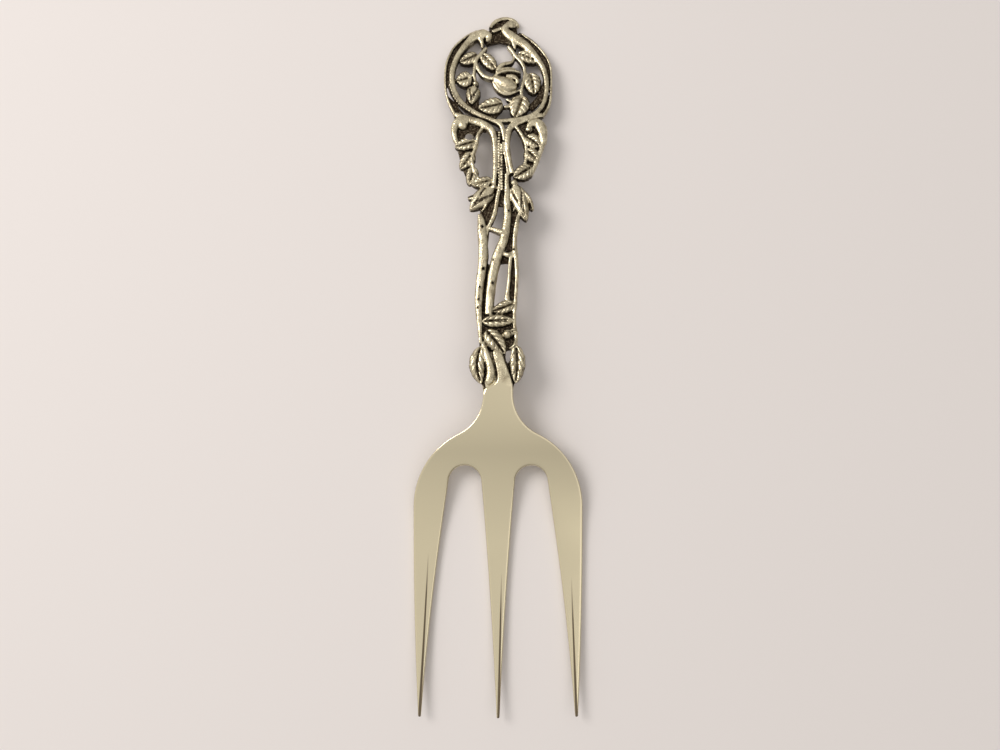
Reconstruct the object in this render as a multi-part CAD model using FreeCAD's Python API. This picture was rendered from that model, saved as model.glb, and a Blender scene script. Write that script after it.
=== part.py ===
import FreeCAD, Part
import os
from math import asin, cos, degrees, radians, sin, sqrt
from FreeCAD import Vector

# A three-tined serving fork of one casting, in millimetres. It lies as it rests on a table:
# tines towards -Y, openwork handle towards +Y, ornament up. X = 0 is the middle of the fork.

# Side profile: the fork bears on the belly of its tines and on the end of its handle
ARCH_Y = -8.0                # crown of the arch, just above the shoulders
ARCH_HEIGHT = 8.5            # back surface over the table there
CROWN_RADIUS = 68.0          # bend at the crown, the bend before the belly follows from it
BELLY_Y = -58.0              # where the tines touch the table
HANDLE_END_Y = 104.5         # where the handle comes down to the table
TINE_SWEEP_RADIUS = 350.0    # gentle rise from the belly to the tips

# Thickness of the polished head, from the neck to the tips
NECK_THICKNESS = 2.8
SHOULDER_THICKNESS = 2.4
TINE_ROOT_THICKNESS = 2.1
TINE_TIP_THICKNESS = 0.9
EDGE_BEVEL = 0.35            # softened upper edge of the head

# Plan of the head
NECK_HALF_WIDTH = 4.3
NECK_TOP_Y = -11.0           # where the polished neck runs under the ornament
SHOULDER_TOP_Y = -14.0
SHOULDER_END_Y = -46.0
SHOULDER_HOLLOW_RADIUS = 12.4
HEAD_HALF_WIDTH = 24.5
SLOT_RADIUS = 4.75           # round top of the gap between two tines
SLOT_X = 9.6
SLOT_Y = -38.9
OUTER_TINE_LEAN = 9.0        # degrees, inner side of an outer tine where it leaves the slot
MIDDLE_TINE_LEAN = 5.0
TIP_Y = -105.0               # end of the middle tine
OUTER_TIP_X = 22.1
OUTER_TIP_LIFT = 0.4         # the outer tines end this much higher up the fork
TIP_HALF_WIDTH = 0.42

# Handle
WEB_THICKNESS = 1.1          # sunk ground between the branches
RING_Y = 84.6                # centre of the ring
RING_OUTER_RADIUS = 16.4
RING_INNER_RADIUS = 13.6
RING_STEM_WIDTH = 1.5        # inner stem of the ring
RING_RIM_WIDTH = 0.9         # outer rim, a sunk groove lies between the two
RING_BEVEL = 0.35
STEM_HEIGHT = 2.4            # crest of the main branches over the back
RIM_HEIGHT = 1.9             # outer rim of the ring
VINE_WIDTH = 1.0
VINE_HEIGHT = 1.9
LEAF_HEIGHT = 2.2
MIDRIB_DEPTH = 0.35          # crease along each leaf
EAR_HEIGHT = 2.5             # the two leaves that droop over the neck
TONGUE_DROP = 0.5            # the neck's tongue lies this much under the polished plate
CREST_SHARE = 0.5            # flat crest of a branch, as a share of its width
FLANK_SHARE = 0.55           # upright flank of a branch, as a share of its height
LEAF_RIM_SHARE = 0.75        # edge of a leaf, as a share of its height

# Working sizes of the construction
STATION = 4.8                # spacing of the sections along a branch
BURY = 1.0                   # how far a form starts below the back before it is faced flat
SKY = 30.0                   # clear height over everything
REACH = 1.6 * HEAD_HALF_WIDTH   # clear half width
CLOSE = 0.01                 # what counts as the same place


def bendRadii():
    rise = (ARCH_Y - BELLY_Y) ** 2 + ARCH_HEIGHT ** 2
    both = rise / (2 * ARCH_HEIGHT)
    handle = ((HANDLE_END_Y - ARCH_Y) ** 2 + ARCH_HEIGHT ** 2) / (2 * ARCH_HEIGHT)
    return both, handle


BOTH_BENDS, HANDLE_RADIUS = bendRadii()
BEND_ANGLE = asin((ARCH_Y - BELLY_Y) / BOTH_BENDS)
BELLY_BEND_RADIUS = BOTH_BENDS - CROWN_RADIUS
BEND_CHANGE_Y = BELLY_Y + BELLY_BEND_RADIUS * sin(BEND_ANGLE)


def backHeight(y):
    """Height of the back surface over the table at a place along the fork."""
    if y >= ARCH_Y:
        return ARCH_HEIGHT - HANDLE_RADIUS + sqrt(HANDLE_RADIUS ** 2 - (y - ARCH_Y) ** 2)
    if y >= BEND_CHANGE_Y:
        return ARCH_HEIGHT - CROWN_RADIUS + sqrt(CROWN_RADIUS ** 2 - (y - ARCH_Y) ** 2)
    if y >= BELLY_Y:
        return BELLY_BEND_RADIUS - sqrt(BELLY_BEND_RADIUS ** 2 - (y - BELLY_Y) ** 2)
    return TINE_SWEEP_RADIUS - sqrt(TINE_SWEEP_RADIUS ** 2 - (y - BELLY_Y) ** 2)


def spot(x, y, height):
    """A point over the back surface."""
    return Vector(x, y, backHeight(y) + height)


def arcThrough(start, middle, end):
    return Part.Arc(start, middle, end).toShape()


def smooth(points, closed=False):
    """A smooth curve through plan points."""
    curve = Part.BSplineCurve()
    curve.interpolate([Vector(x, y, 0) for x, y in points], PeriodicFlag=closed)
    return curve


def tangentArc(start, direction, end):
    """An arc that leaves start along direction and stops at end."""
    chord = end - start
    normal = Vector(-direction.y, direction.x, 0)
    radius = chord.dot(chord) / (2 * chord.dot(normal))
    centre = start + normal * radius
    half = ((start + end) * 0.5 - centre)
    middle = centre + half.normalize() * abs(radius)
    return arcThrough(start, middle, end)


def profileEdges(x, height):
    """The line of the back surface, raised by a height, from past the tips to past the handle's end."""
    stops = (TIP_Y - STATION, BELLY_Y, BEND_CHANGE_Y, ARCH_Y, HANDLE_END_Y + STATION)
    edges = []
    for first, last in zip(stops, stops[1:]):
        middle = (first + last) / 2
        edges.append(arcThrough(spot(x, first, height), spot(x, middle, height), spot(x, last, height)))
    return edges


def slab(lower, upper):
    """Everything between two heights over the back, over the whole fork."""
    edges = profileEdges(-REACH, lower) + profileEdges(-REACH, upper)
    for y in (TIP_Y - STATION, HANDLE_END_Y + STATION):
        edges.append(Part.makeLine(spot(-REACH, y, lower), spot(-REACH, y, upper)))
    face = Part.Face(Part.Wire(Part.__sortEdges__(edges)))
    return face.extrude(Vector(2 * REACH, 0, 0))


UNDERSIDE = slab(-ARCH_HEIGHT - BURY, 0)


def headOutline():
    """The plan of the head: shoulders, two slots and three tapering tines."""
    middleLean = radians(MIDDLE_TINE_LEAN)
    outerLean = radians(OUTER_TINE_LEAN)
    slotCentre = Vector(SLOT_X, SLOT_Y, 0)
    slotLeft = slotCentre + Vector(-cos(middleLean), sin(middleLean), 0) * SLOT_RADIUS
    slotRight = slotCentre + Vector(cos(outerLean), sin(outerLean), 0) * SLOT_RADIUS
    middleTip = Vector(TIP_HALF_WIDTH, TIP_Y + TIP_HALF_WIDTH, 0)
    outerTipY = TIP_Y + OUTER_TIP_LIFT
    tipInside = Vector(OUTER_TIP_X - TIP_HALF_WIDTH, outerTipY + TIP_HALF_WIDTH, 0)
    tipOutside = Vector(OUTER_TIP_X + TIP_HALF_WIDTH, outerTipY + TIP_HALF_WIDTH, 0)
    sideTop = Vector(HEAD_HALF_WIDTH, SHOULDER_END_Y, 0)
    neckSide = Vector(NECK_HALF_WIDTH, SHOULDER_TOP_Y, 0)
    neckEnd = Vector(NECK_HALF_WIDTH, NECK_TOP_Y, 0)
    across = HEAD_HALF_WIDTH - NECK_HALF_WIDTH
    along = SHOULDER_TOP_Y - SHOULDER_END_Y
    radii = (across ** 2 + along ** 2) / (2 * across)
    turn = asin(along / radii)
    swellRadius = radii - SHOULDER_HOLLOW_RADIUS
    hollowCentre = neckSide + Vector(SHOULDER_HOLLOW_RADIUS, 0, 0)
    swellCentre = sideTop - Vector(swellRadius, 0, 0)

    def onHollow(angle):
        return hollowCentre - Vector(cos(angle), sin(angle), 0) * SHOULDER_HOLLOW_RADIUS

    def onSwell(angle):
        return swellCentre + Vector(cos(angle), sin(angle), 0) * swellRadius

    half = [
        tangentArc(slotLeft, Vector(-sin(middleLean), -cos(middleLean), 0), middleTip),
        arcThrough(slotLeft, slotCentre + Vector(0, SLOT_RADIUS, 0), slotRight),
        tangentArc(slotRight, Vector(sin(outerLean), -cos(outerLean), 0), tipInside),
        arcThrough(tipInside, Vector(OUTER_TIP_X, outerTipY, 0), tipOutside),
        tangentArc(sideTop, Vector(0, -1, 0), tipOutside),
        arcThrough(sideTop, onSwell(turn / 2), onSwell(turn)),
        arcThrough(onHollow(turn), onHollow(turn / 2), neckSide),
        Part.makeLine(neckSide, neckEnd),
    ]
    mirrored = [edge.mirror(Vector(0, 0, 0), Vector(1, 0, 0)) for edge in half]
    top = Part.makeLine(neckEnd, Vector(-NECK_HALF_WIDTH, NECK_TOP_Y, 0))
    middleEnd = arcThrough(middleTip, Vector(0, TIP_Y, 0), Vector(-middleTip.x, middleTip.y, 0))
    return Part.Wire(Part.__sortEdges__(half + mirrored + [top, middleEnd]))


def headTop():
    """Everything under the crown line of the head, which thins from the neck to the tips."""
    rootToTip = (BELLY_Y + TIP_Y) / 2
    shoulder = (BELLY_Y + BEND_CHANGE_Y) / 2
    neck = (BEND_CHANGE_Y + ARCH_Y) / 2
    stations = [
        (TIP_Y - STATION, TINE_TIP_THICKNESS),
        (rootToTip, (TINE_TIP_THICKNESS + TINE_ROOT_THICKNESS) / 2),
        (BELLY_Y, TINE_ROOT_THICKNESS),
        (shoulder, (TINE_ROOT_THICKNESS + SHOULDER_THICKNESS) / 2),
        (BEND_CHANGE_Y, SHOULDER_THICKNESS),
        (neck, (SHOULDER_THICKNESS + NECK_THICKNESS) / 2),
        (ARCH_Y, NECK_THICKNESS),
    ]
    line = [spot(-REACH, y, thickness) for y, thickness in stations]
    floorTip = Vector(-REACH, line[0].y, -BURY)
    floorNeck = Vector(-REACH, line[-1].y, -BURY)
    edges = [
        arcThrough(*line[0:3]),
        arcThrough(*line[2:5]),
        arcThrough(*line[4:7]),
        Part.makeLine(line[-1], floorNeck),
        Part.makeLine(floorNeck, floorTip),
        Part.makeLine(floorTip, line[0]),
    ]
    return Part.Face(Part.Wire(Part.__sortEdges__(edges))).extrude(Vector(2 * REACH, 0, 0))


def makeHead():
    """The polished head: its plan cut from the tapering plate, the upper edges softened."""
    plan = Part.Face(headOutline())
    plan.translate(Vector(0, 0, -BURY / 2))
    blank = plan.extrude(Vector(0, 0, SKY)).common(headTop())
    rims = []
    for edge in blank.Edges:
        box = edge.BoundBox
        middle = edge.valueAt((edge.FirstParameter + edge.LastParameter) / 2)
        onTop = middle.z > backHeight(middle.y) + TINE_TIP_THICKNESS / 2
        upright = box.XLength < CLOSE and box.YLength < CLOSE
        if onTop and not upright and middle.y < NECK_TOP_Y - CLOSE:
            rims.append(edge)
    return blank.makeChamfer(EDGE_BEVEL, rims)


def ridge(points, widths, tops):
    """A branch along plan points, bevelled to its crest, with its width and height at each point."""
    line = smooth(points)
    places = [line.parameter(Vector(x, y, 0)) for x, y in points]
    steps = max(2, round(line.length() / STATION))
    sections = []
    for step in range(steps + 1):
        way = places[0] + (places[-1] - places[0]) * step / steps
        span = max(n for n in range(len(places) - 1) if places[n] <= way + 1e-9)
        part = (way - places[span]) / (places[span + 1] - places[span])
        width = widths[span] + (widths[span + 1] - widths[span]) * part
        top = tops[span] + (tops[span + 1] - tops[span]) * part
        along = line.tangent(way)[0]
        side = Vector(-along.y, along.x, 0) * (width / 2)
        sections.append(ridgeSection(line.value(way), side, top))
    return Part.makeLoft(sections, True, True)


def ridgeSection(middle, side, top):
    """A branch's section: upright flanks, bevels and a flat crest."""
    flank = top * FLANK_SHARE
    outline = [(-1, -BURY), (-1, flank), (-CREST_SHARE, top), (CREST_SHARE, top), (1, flank), (1, -BURY)]
    return crossSection(middle, side, outline)


def crossSection(middle, side, outline):
    """A closed section square to a branch, from shares of its half width and heights over the back."""
    corners = []
    for across, height in outline:
        plan = middle + side * across
        corners.append(Vector(plan.x, plan.y, backHeight(middle.y) + height))
    return Part.makePolygon(corners + corners[:1])


def branch(points, width, top, endWidth=None):
    """A ridge that keeps its height and tapers evenly from one width to another."""
    last = len(points) - 1
    endWidth = endWidth or width
    widths = [width + (endWidth - width) * step / last for step in range(last + 1)]
    return ridge(points, widths, [top] * len(points))


def vine(points):
    return branch(points, VINE_WIDTH, VINE_HEIGHT)


def axis(base, tip, width):
    """The start of a leaf or bud, the way to its tip, and half its width square to that."""
    start = Vector(base[0], base[1], 0)
    reach = Vector(tip[0], tip[1], 0) - start
    side = Vector(-reach.y, reach.x, 0).normalize() * (width / 2)
    return start, reach, side


def bud(base, tip, width, top):
    """A teardrop from a stalk to a point."""
    start, reach, side = axis(base, tip, width)
    sections = []
    for way, share in ((0.0, 0.35), (0.25, 0.85), (0.5, 1.0), (0.75, 0.7), (1.0, 0.12)):
        crest = top * (FLANK_SHARE + (1 - FLANK_SHARE) * share)
        sections.append(ridgeSection(start + reach * way, side * share, crest))
    return Part.makeLoft(sections, True, True)


def leaf(base, tip, width, top):
    """A pointed leaf with two raised lobes and a crease for its midrib."""
    start, reach, side = axis(base, tip, width)
    sections = []
    for way, share in ((0.0, 0.3), (0.22, 0.9), (0.5, 1.0), (0.8, 0.62), (1.0, 0.08)):
        lobe = top * (1 - 0.3 * (1 - share))
        crease = lobe - MIDRIB_DEPTH * share
        rim = lobe * LEAF_RIM_SHARE
        outline = [
            (1, -BURY), (1, rim), (0.55, lobe), (0, crease), (-0.55, lobe), (-1, rim),
            (-1, -BURY),
        ]
        sections.append(crossSection(start + reach * way, side * share, outline))
    return Part.makeLoft(sections, True, True)


def turned(x, y, outline, start=0, sweep=360):
    """A ring or button turned about an axis square to the back, from distances and heights."""
    corners = [Vector(out, 0, height) for out, height in outline]
    face = Part.Face(Part.makePolygon(corners + corners[:1]))
    form = face.revolve(Vector(0, 0, 0), Vector(0, 0, 1), sweep)
    form.rotate(Vector(0, 0, 0), Vector(0, 0, 1), start)
    form.rotate(Vector(0, 0, 0), Vector(1, 0, 0), -degrees(asin((y - ARCH_Y) / HANDLE_RADIUS)))
    return form.translated(spot(x, y, 0))


def knob(x, y, radius, top):
    """A round button with a bevelled top."""
    flank = top * FLANK_SHARE
    crest = radius * CREST_SHARE
    return turned(x, y, [(0, -BURY), (radius, -BURY), (radius, flank), (crest, top), (0, top)])


def hoop(x, y, radius, width, top, start=0, sweep=360):
    """A bevelled branch bent to a true arc."""
    half = width / 2
    flank = top * FLANK_SHARE
    section = [(-1, -BURY), (-1, flank), (-CREST_SHARE, top), (CREST_SHARE, top), (1, flank), (1, -BURY)]
    return turned(x, y, [(radius + half * across, height) for across, height in section], start, sweep)


def ground(points):
    """A patch of sunk ground, its edge hidden under the branches round it."""
    corners = [Vector(x, y, 0) for x, y in points]
    block = Part.Face(Part.makePolygon(corners + corners[:1])).extrude(Vector(0, 0, SKY))
    return block.common(slab(-BURY, WEB_THICKNESS))


def ringBand():
    """The hoop of the ring: an inner stem, a sunk groove and an outer rim."""
    inside = RING_INNER_RADIUS
    stem = inside + RING_STEM_WIDTH
    outside = RING_OUTER_RADIUS
    rim = outside - RING_RIM_WIDTH
    bevel = RING_BEVEL
    return turned(0, RING_Y, [
        (inside, -BURY), (inside, STEM_HEIGHT - bevel), (inside + bevel, STEM_HEIGHT),
        (stem - bevel, STEM_HEIGHT), (stem, WEB_THICKNESS), (rim, WEB_THICKNESS), (rim + bevel, RIM_HEIGHT),
        (outside - bevel, RIM_HEIGHT), (outside, WEB_THICKNESS), (outside, -BURY)])


def ringForms():
    """The ring: a grooved hoop with the ends of two stems curled together, and roses inside."""
    stemEnd = [(-13.6, 88.4), (-11.9, 92.6), (-9, 95.8), (-6, 97.6), (-4, 97.6)]
    return [
        ringBand(),
        ground([
            (-4.4, 98), (-3.4, 94.6), (0.3, 95.6), (4.4, 94.6), (5.8, 97.6), (5, 102), (1.6, 103.2),
            (-1.4, 101.4)
        ]),
        ground([
            (-8.4, 76), (-8, 72.6), (-4.5, 70.2), (0.6, 71.6), (2.4, 73), (2.4, 75.2), (-1, 74.8),
            (-5.6, 73.8)
        ]),
        ground([(-0.2, 83.2), (0.8, 78.4), (5, 77.8), (5.8, 82.6), (3.6, 87), (1, 86.4)]),
        ground([(-15.9, 79), (-15.1, 75), (-13.4, 71.4), (-11.4, 69.4), (-8.6, 71.8), (-13, 76.6)]),
        ground([(15.9, 79), (15.6, 75), (14, 71.4), (12, 69.4), (8.6, 71.8), (13, 76.6)]),
        branch([(-15.8, 82), (-15.5, 77.4), (-14.5, 73.6), (-13.3, 70.9)], 1.1, RIM_HEIGHT),
        branch([(15.9, 82), (15.8, 77.4), (14.9, 73.4), (13.1, 70)], 1.1, RIM_HEIGHT),
        hoop(2, 99.8, 3.9, 1.3, 1.7, 0, 175),
        ridge(stemEnd, [1.5, 1.8, 2.5, 3.4, 3.6], [2.4, 2.5, 2.6, 2.8, 2.8]),
        ridge([
            (2.3, 101.4), (2.4, 98.9), (5.2, 96.9), (8.8, 94.4),
            (11.8, 91)
        ], [2.2, 2.7, 2.7, 2.3, 1.6], [2.6] * 5),
        knob(-4.1, 97.5, 2.4, 2.9),
        bud((-4.6, 97), (-5, 92.8), 2.2, 2.4),
        knob(4.4, 100.1, 2.1, 2.4),
        bud((4.6, 97), (5.3, 92.8), 2.2, 2.3),
        vine([(-4.2, 95.5), (-5.6, 91), (-7.1, 87), (-7, 82.5), (-7.2, 80.5)]),
        branch([(-6.8, 88.5), (-4.8, 84), (0.4, 82.6)], 1.1, 2.2, 1.6),
        vine([(3, 96.5), (5, 90.8), (8, 86.5), (7.3, 80.5), (7.3, 76)]),
        vine([(7.2, 77.2), (4, 75.2), (1.2, 75.6)]),
        leaf((-5.4, 91.2), (-11.6, 88), 3.2, LEAF_HEIGHT),
        leaf((-6, 91.6), (-0.2, 85.2), 3.2, LEAF_HEIGHT),
        leaf((-14, 82.2), (-7.6, 83.1), 4.4, LEAF_HEIGHT),
        leaf((2.2, 74.8), (-6.2, 72.6), 4.4, LEAF_HEIGHT),
        leaf((4.8, 91.6), (13.4, 88), 3.0, LEAF_HEIGHT),
        leaf((14.2, 81.6), (7.8, 80.6), 6.0, LEAF_HEIGHT),
        leaf((7.2, 77.4), (5, 69.4), 5.2, LEAF_HEIGHT),
        bud((-7, 81.2), (-8.1, 72.6), 4.4, 2.6),
        bud((5.6, 79.2), (-1.4, 82.8), 4.8, 3.2),
        bud((6.4, 82.6), (-0.2, 87.3), 3.4, 2.6),
        bud((5.8, 77.6), (-1.4, 79.6), 3.0, 2.4),
    ]


def wingForms():
    """The two wings under the ring, with scrolls, vines and leaves round their openings."""
    leftWeb = ground([(-12, 71), (-13.1, 66), (-12.6, 61), (-8, 61), (-6.2, 63), (-4.6, 67.2), (-7.4, 69.6)])
    rightWeb = [
        (12, 71), (13.6, 65), (13.6, 61.6), (11.6, 57), (9.4, 53.4), (7.8, 54.4), (8.4, 59),
        (7.2, 64),
    ]
    strip = [(-0.7, 66), (1, 67), (1.6, 62), (2.5, 54), (2.4, 47), (0.4, 46.6), (-0.9, 50), (-0.7, 58)]
    return [
        leftWeb.cut(Part.makeCylinder(1.3, SKY, Vector(-8.7, 64.1, 0))),
        ground(rightWeb + [(5, 67.6), (8.4, 69.4)]),
        ground(strip),
        branch([
            (-12.3, 72.2), (-5.5, 68.6), (-1.8, 66.2), (-0.7, 61), (-0.7, 54),
            (-1.2, 47.5)
        ], 2.4, 2.4, 1.4),
        branch([(11, 71.4), (5, 68), (2.9, 65), (2.8, 60), (3.6, 55), (4.7, 49)], 2.4, 2.4, 1.4),
        vine([(-4, 67.6), (-6.1, 63.3), (-7.3, 58.5), (-7.6, 54), (-5.2, 50)]),
        vine([(5.4, 68.3), (7.6, 63), (8.4, 58.5), (7.6, 53.6), (4.6, 50)]),
        branch([(-12.9, 72), (-13.4, 67.6), (-13.1, 63.6), (-11.6, 60.4)], 1.5, 2.2),
        branch([(13.2, 60.6), (14.1, 63.8), (13.8, 67), (13, 70.8)], 1.4, 2.2),
        branch([(8.6, 67.4), (11.4, 68), (13.6, 65)], 1.3, 2.3),
        knob(-10.6, 67.6, 2.6, 2.8),
        leaf((-7, 62.2), (-13.4, 60.2), 4.0, LEAF_HEIGHT),
        leaf((-7.4, 59.2), (-10.8, 52.6), 4.0, LEAF_HEIGHT),
        leaf((-7.2, 55.4), (-8, 48.6), 3.8, LEAF_HEIGHT),
        leaf((-1, 49.8), (-7.8, 49), 3.0, LEAF_HEIGHT),
        leaf((8, 61.2), (14.4, 62.4), 4.2, LEAF_HEIGHT),
        leaf((8, 58.2), (12.2, 56.6), 3.8, LEAF_HEIGHT),
        leaf((10.2, 53.6), (4.2, 50.6), 4.6, LEAF_HEIGHT),
        bud((-1, 48.6), (-8, 40.4), 6.2, 3.0),
        bud((-1.6, 47.4), (-9, 44.2), 2.6, 2.4),
        bud((4.5, 49.6), (7.9, 37.6), 5.8, 3.0),
        bud((5.4, 48.4), (10.2, 41.4), 2.6, 2.4),
    ]


def shaftForms():
    """The shaft: a knotted trunk between two thinner branches, down to the leaves over the neck."""
    trunk = [
        (1.5, 68.6), (1.4, 64), (2, 60), (2.6, 55), (2.4, 49), (2.6, 42), (2.4, 35), (0, 26.5),
        (-2, 18.5), (-2.7, 9),
    ]
    trunkWidths = [1.2, 1.2, 1.2, 1.3, 1.6, 2.2, 2.8, 3.1, 2.9, 2.4]
    trunkTops = [2.4, 2.3, 2.2, 2.2, 2.3, 2.5, 2.8, 2.9, 2.9, 2.8]
    left = [
        (-5.2, 39.5), (-4.7, 34), (-4.3, 27), (-4.9, 21), (-5.5, 14), (-5.4, 7), (-5.1, 1),
        (-3.8, -3), (-2.6, -9),
    ]
    leftWidths = [1.7, 2.6, 2.9, 2.7, 2.4, 1.8, 1.2, 1.7, 3.0]
    leftTops = [2.3, 2.6, 2.7, 2.7, 2.6, 2.5, 2.5, 2.9, 3.0]
    cluster = [
        (-4.9, 9), (-2.4, 10), (2, 12), (4.5, 12), (4.7, 5), (4.4, 1), (3, -1.2), (0.6, -0.6),
        (-1, 2),
    ]
    return [
        ridge(trunk, trunkWidths, trunkTops),
        ridge(left, leftWidths, leftTops),
        ground([(-5, 39), (-4.6, 35), (-3, 35), (-1.2, 39), (-0.2, 44), (-2, 46), (-4.6, 43.4)]),
        ground([
            (-4.4, 26), (-2.4, 24), (-2, 18), (-2.7, 9), (-3, 2), (-5, 1), (-5.4, 7), (-5.6, 14),
            (-4.9, 21)
        ]),
        ground([
            (2.5, 40), (3.6, 45), (5.6, 42), (5.4, 37), (4.8, 31), (4.8, 28), (3, 26.8), (1.4, 29.4),
            (2.2, 34)
        ]),
        ground([
            (3.6, 27), (5, 27), (5.2, 24), (5.1, 16), (4.7, 10), (3.6, 9.6), (2.8, 13), (3.1, 18),
            (3.5, 24)
        ]),
        ground(cluster + [(-4.6, 1)]),
        branch([
            (5.6, 39.5), (4.9, 33), (4.6, 29.5), (5.2, 24), (5.1, 16), (4.6, 9),
            (4.7, 3)
        ], 1.4, 2.3, 1.1),
        branch([(4, 28), (3.5, 24), (3.1, 18), (2.6, 13.2)], 1.0, 2.0, 1.7),
        branch([(0.9, 50), (-0.2, 44.5), (-1.2, 39), (-3.4, 34)], 1.3, 2.2),
        branch([(-1.8, 34.8), (0.3, 33.8), (2.2, 33.4)], 1.2, 2.3, 1.6),
        branch([(0.6, 26), (3, 26.8), (5, 28)], 1.4, 2.2),
        leaf((4.4, 12.4), (-1.6, 10.2), 3.2, LEAF_HEIGHT),
        leaf((-4.8, 6.9), (4.8, 7.1), 3.9, LEAF_HEIGHT),
        leaf((-3.6, 4.4), (2.2, -2.4), 4.6, LEAF_HEIGHT),
        leaf((4.9, 3), (2.8, -1), 2.4, LEAF_HEIGHT),
        bud((4.2, 4.4), (1.2, 2.2), 2.8, 2.6),
    ]


def neckForms():
    """The tongue that joins shaft and head, between two drooping ear leaves."""
    tongue = [
        (-4.8, 1), (-4.2, -4), (-4.1, -9), (-3.4, -13.5), (3.4, -13.5), (4.1, -9.4), (2.8, -5.6),
        (1.4, -2),
    ]
    corners = [Vector(x, y, 0) for x, y in tongue + [(-1, 1.6)]]
    block = Part.Face(Part.makePolygon(corners + corners[:1])).extrude(Vector(0, 0, SKY))
    return [
        block.common(slab(-BURY, NECK_THICKNESS - TONGUE_DROP)),
        leaf((-5.3, -0.6), (-5.2, -10.9), 5.4, EAR_HEIGHT),
        leaf((4.7, 1.6), (5.1, -10.6), 4.2, EAR_HEIGHT),
    ]


def faced(forms):
    """The forms with their undersides cut to the curve of the back."""
    return [form.cut(UNDERSIDE) for form in forms]


def joined(forms):
    return forms[0].multiFuse(forms[1:])


def makeFork():
    """The whole casting, joined from its head and the three stretches of its handle."""
    ring = joined(faced(ringForms()))
    wings = joined(faced(wingForms()))
    shaft = joined(faced(shaftForms() + neckForms()))
    head = makeHead().cut(UNDERSIDE)
    fork = ring.fuse(wings).fuse(shaft).fuse(head)
    box = fork.optimalBoundingBox(False, False)
    print("solids", len(fork.Solids), "closed", fork.isValid(), "volume", round(fork.Volume, 1))
    print("size", round(box.XLength, 2), round(box.YLength, 2), round(box.ZLength, 2))
    return fork.translated(Vector(-box.Center.x, -box.Center.y, -box.ZMin))


os.makedirs("parts", exist_ok=True)
makeFork().exportStep("parts/serving_fork.step")
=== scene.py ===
import bpy
import numpy as np
from math import asin, atan2, cos, pi, radians, sin, sqrt
from mathutils import Matrix, Vector
from mathutils.geometry import delaunay_2d_cdt


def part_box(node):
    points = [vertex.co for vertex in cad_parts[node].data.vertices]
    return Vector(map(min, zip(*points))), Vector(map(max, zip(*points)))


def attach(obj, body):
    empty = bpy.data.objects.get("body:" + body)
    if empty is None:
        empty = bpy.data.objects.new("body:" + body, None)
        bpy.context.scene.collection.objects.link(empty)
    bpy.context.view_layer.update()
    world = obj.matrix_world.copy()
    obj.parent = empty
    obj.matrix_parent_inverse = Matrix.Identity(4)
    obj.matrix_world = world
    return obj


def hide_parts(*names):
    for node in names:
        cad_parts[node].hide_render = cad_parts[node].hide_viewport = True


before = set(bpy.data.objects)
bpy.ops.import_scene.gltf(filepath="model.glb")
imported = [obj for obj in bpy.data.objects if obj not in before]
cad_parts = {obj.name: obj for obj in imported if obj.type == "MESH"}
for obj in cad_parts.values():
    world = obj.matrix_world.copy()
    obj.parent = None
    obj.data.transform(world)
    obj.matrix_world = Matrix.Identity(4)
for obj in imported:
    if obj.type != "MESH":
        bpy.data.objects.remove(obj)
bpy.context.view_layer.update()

# The fork is drawn in millimetres in the same plan as the solid, and moved to its place at the end.
millimetre = 0.001
profile = {
    "archY": -8.0, "archHeight": 8.5, "crownRadius": 68.0, "bellyY": -58.0,
    "handleEndY": 104.5, "tineSweepRadius": 350.0, "tipY": -105.0,
    "neckThickness": 2.8, "shoulderThickness": 2.4, "rootThickness": 2.1, "tipThickness": 0.9,
}


def arcRadius(run, rise):  # radius of an arc that starts level and climbs rise over run
    return (run ** 2 + rise ** 2) / (2 * rise)


headRun = profile["archY"] - profile["bellyY"]
bothBends = arcRadius(headRun, profile["archHeight"])
handleRadius = arcRadius(profile["handleEndY"] - profile["archY"], profile["archHeight"])
bellyBendRadius = bothBends - profile["crownRadius"]
bendChangeY = profile["bellyY"] + bellyBendRadius * headRun / bothBends
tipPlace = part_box("serving_fork")[0][1] - profile["tipY"] * millimetre
toPlace = Matrix.Translation((0, tipPlace, 0)) @ Matrix.Scale(millimetre, 4)


def overCentre(radius, away):  # height of a circle over its centre
    return np.sqrt(np.maximum(radius ** 2 - away ** 2, 0))


def backHeight(y):  # height of the back over the table
    y = np.asarray(y, dtype=float)
    archY, top = profile["archY"], profile["archHeight"]
    crown, sweep, belly = profile["crownRadius"], profile["tineSweepRadius"], profile["bellyY"]
    handle = top - handleRadius + overCentre(handleRadius, y - archY)
    bend = top - crown + overCentre(crown, y - archY)
    rise = bellyBendRadius - overCentre(bellyBendRadius, y - belly)
    tines = sweep - overCentre(sweep, y - belly)
    return np.where(y >= archY, handle, np.where(y >= bendChangeY, bend, np.where(y >= belly, rise, tines)))


def thickness(y):  # thickness of the polished head along the fork
    stops = (profile["tipY"], profile["bellyY"], bendChangeY, profile["archY"])
    values = [profile[part + "Thickness"] for part in ("tip", "root", "shoulder", "neck")]
    return np.interp(y, stops, values)


def smoothPath(points, values, step=0.5):  # a smooth plan line through points, with their values
    data = np.array([list(point) + list(value) for point, value in zip(points, values)], dtype=float)
    ends = np.vstack([2 * data[0] - data[1], data, 2 * data[-1] - data[-2]])
    pieces = []
    for a, b, c, d in zip(ends, ends[1:], ends[2:], ends[3:]):
        count = max(2, int(np.hypot(*(c - b)[:2]) / step))
        t = (np.arange(count) / count)[:, None]
        curve = 2 * b + (c - a) * t + (2 * a - 5 * b + 4 * c - d) * t ** 2 + (3 * b - a - 3 * c + d) * t ** 3
        pieces.append(0.5 * curve)
    return np.vstack(pieces + [data[-1:]])


def addObject(name, data):
    thing = bpy.data.objects.new(name, data)
    bpy.context.scene.collection.objects.link(thing)
    return thing


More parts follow.
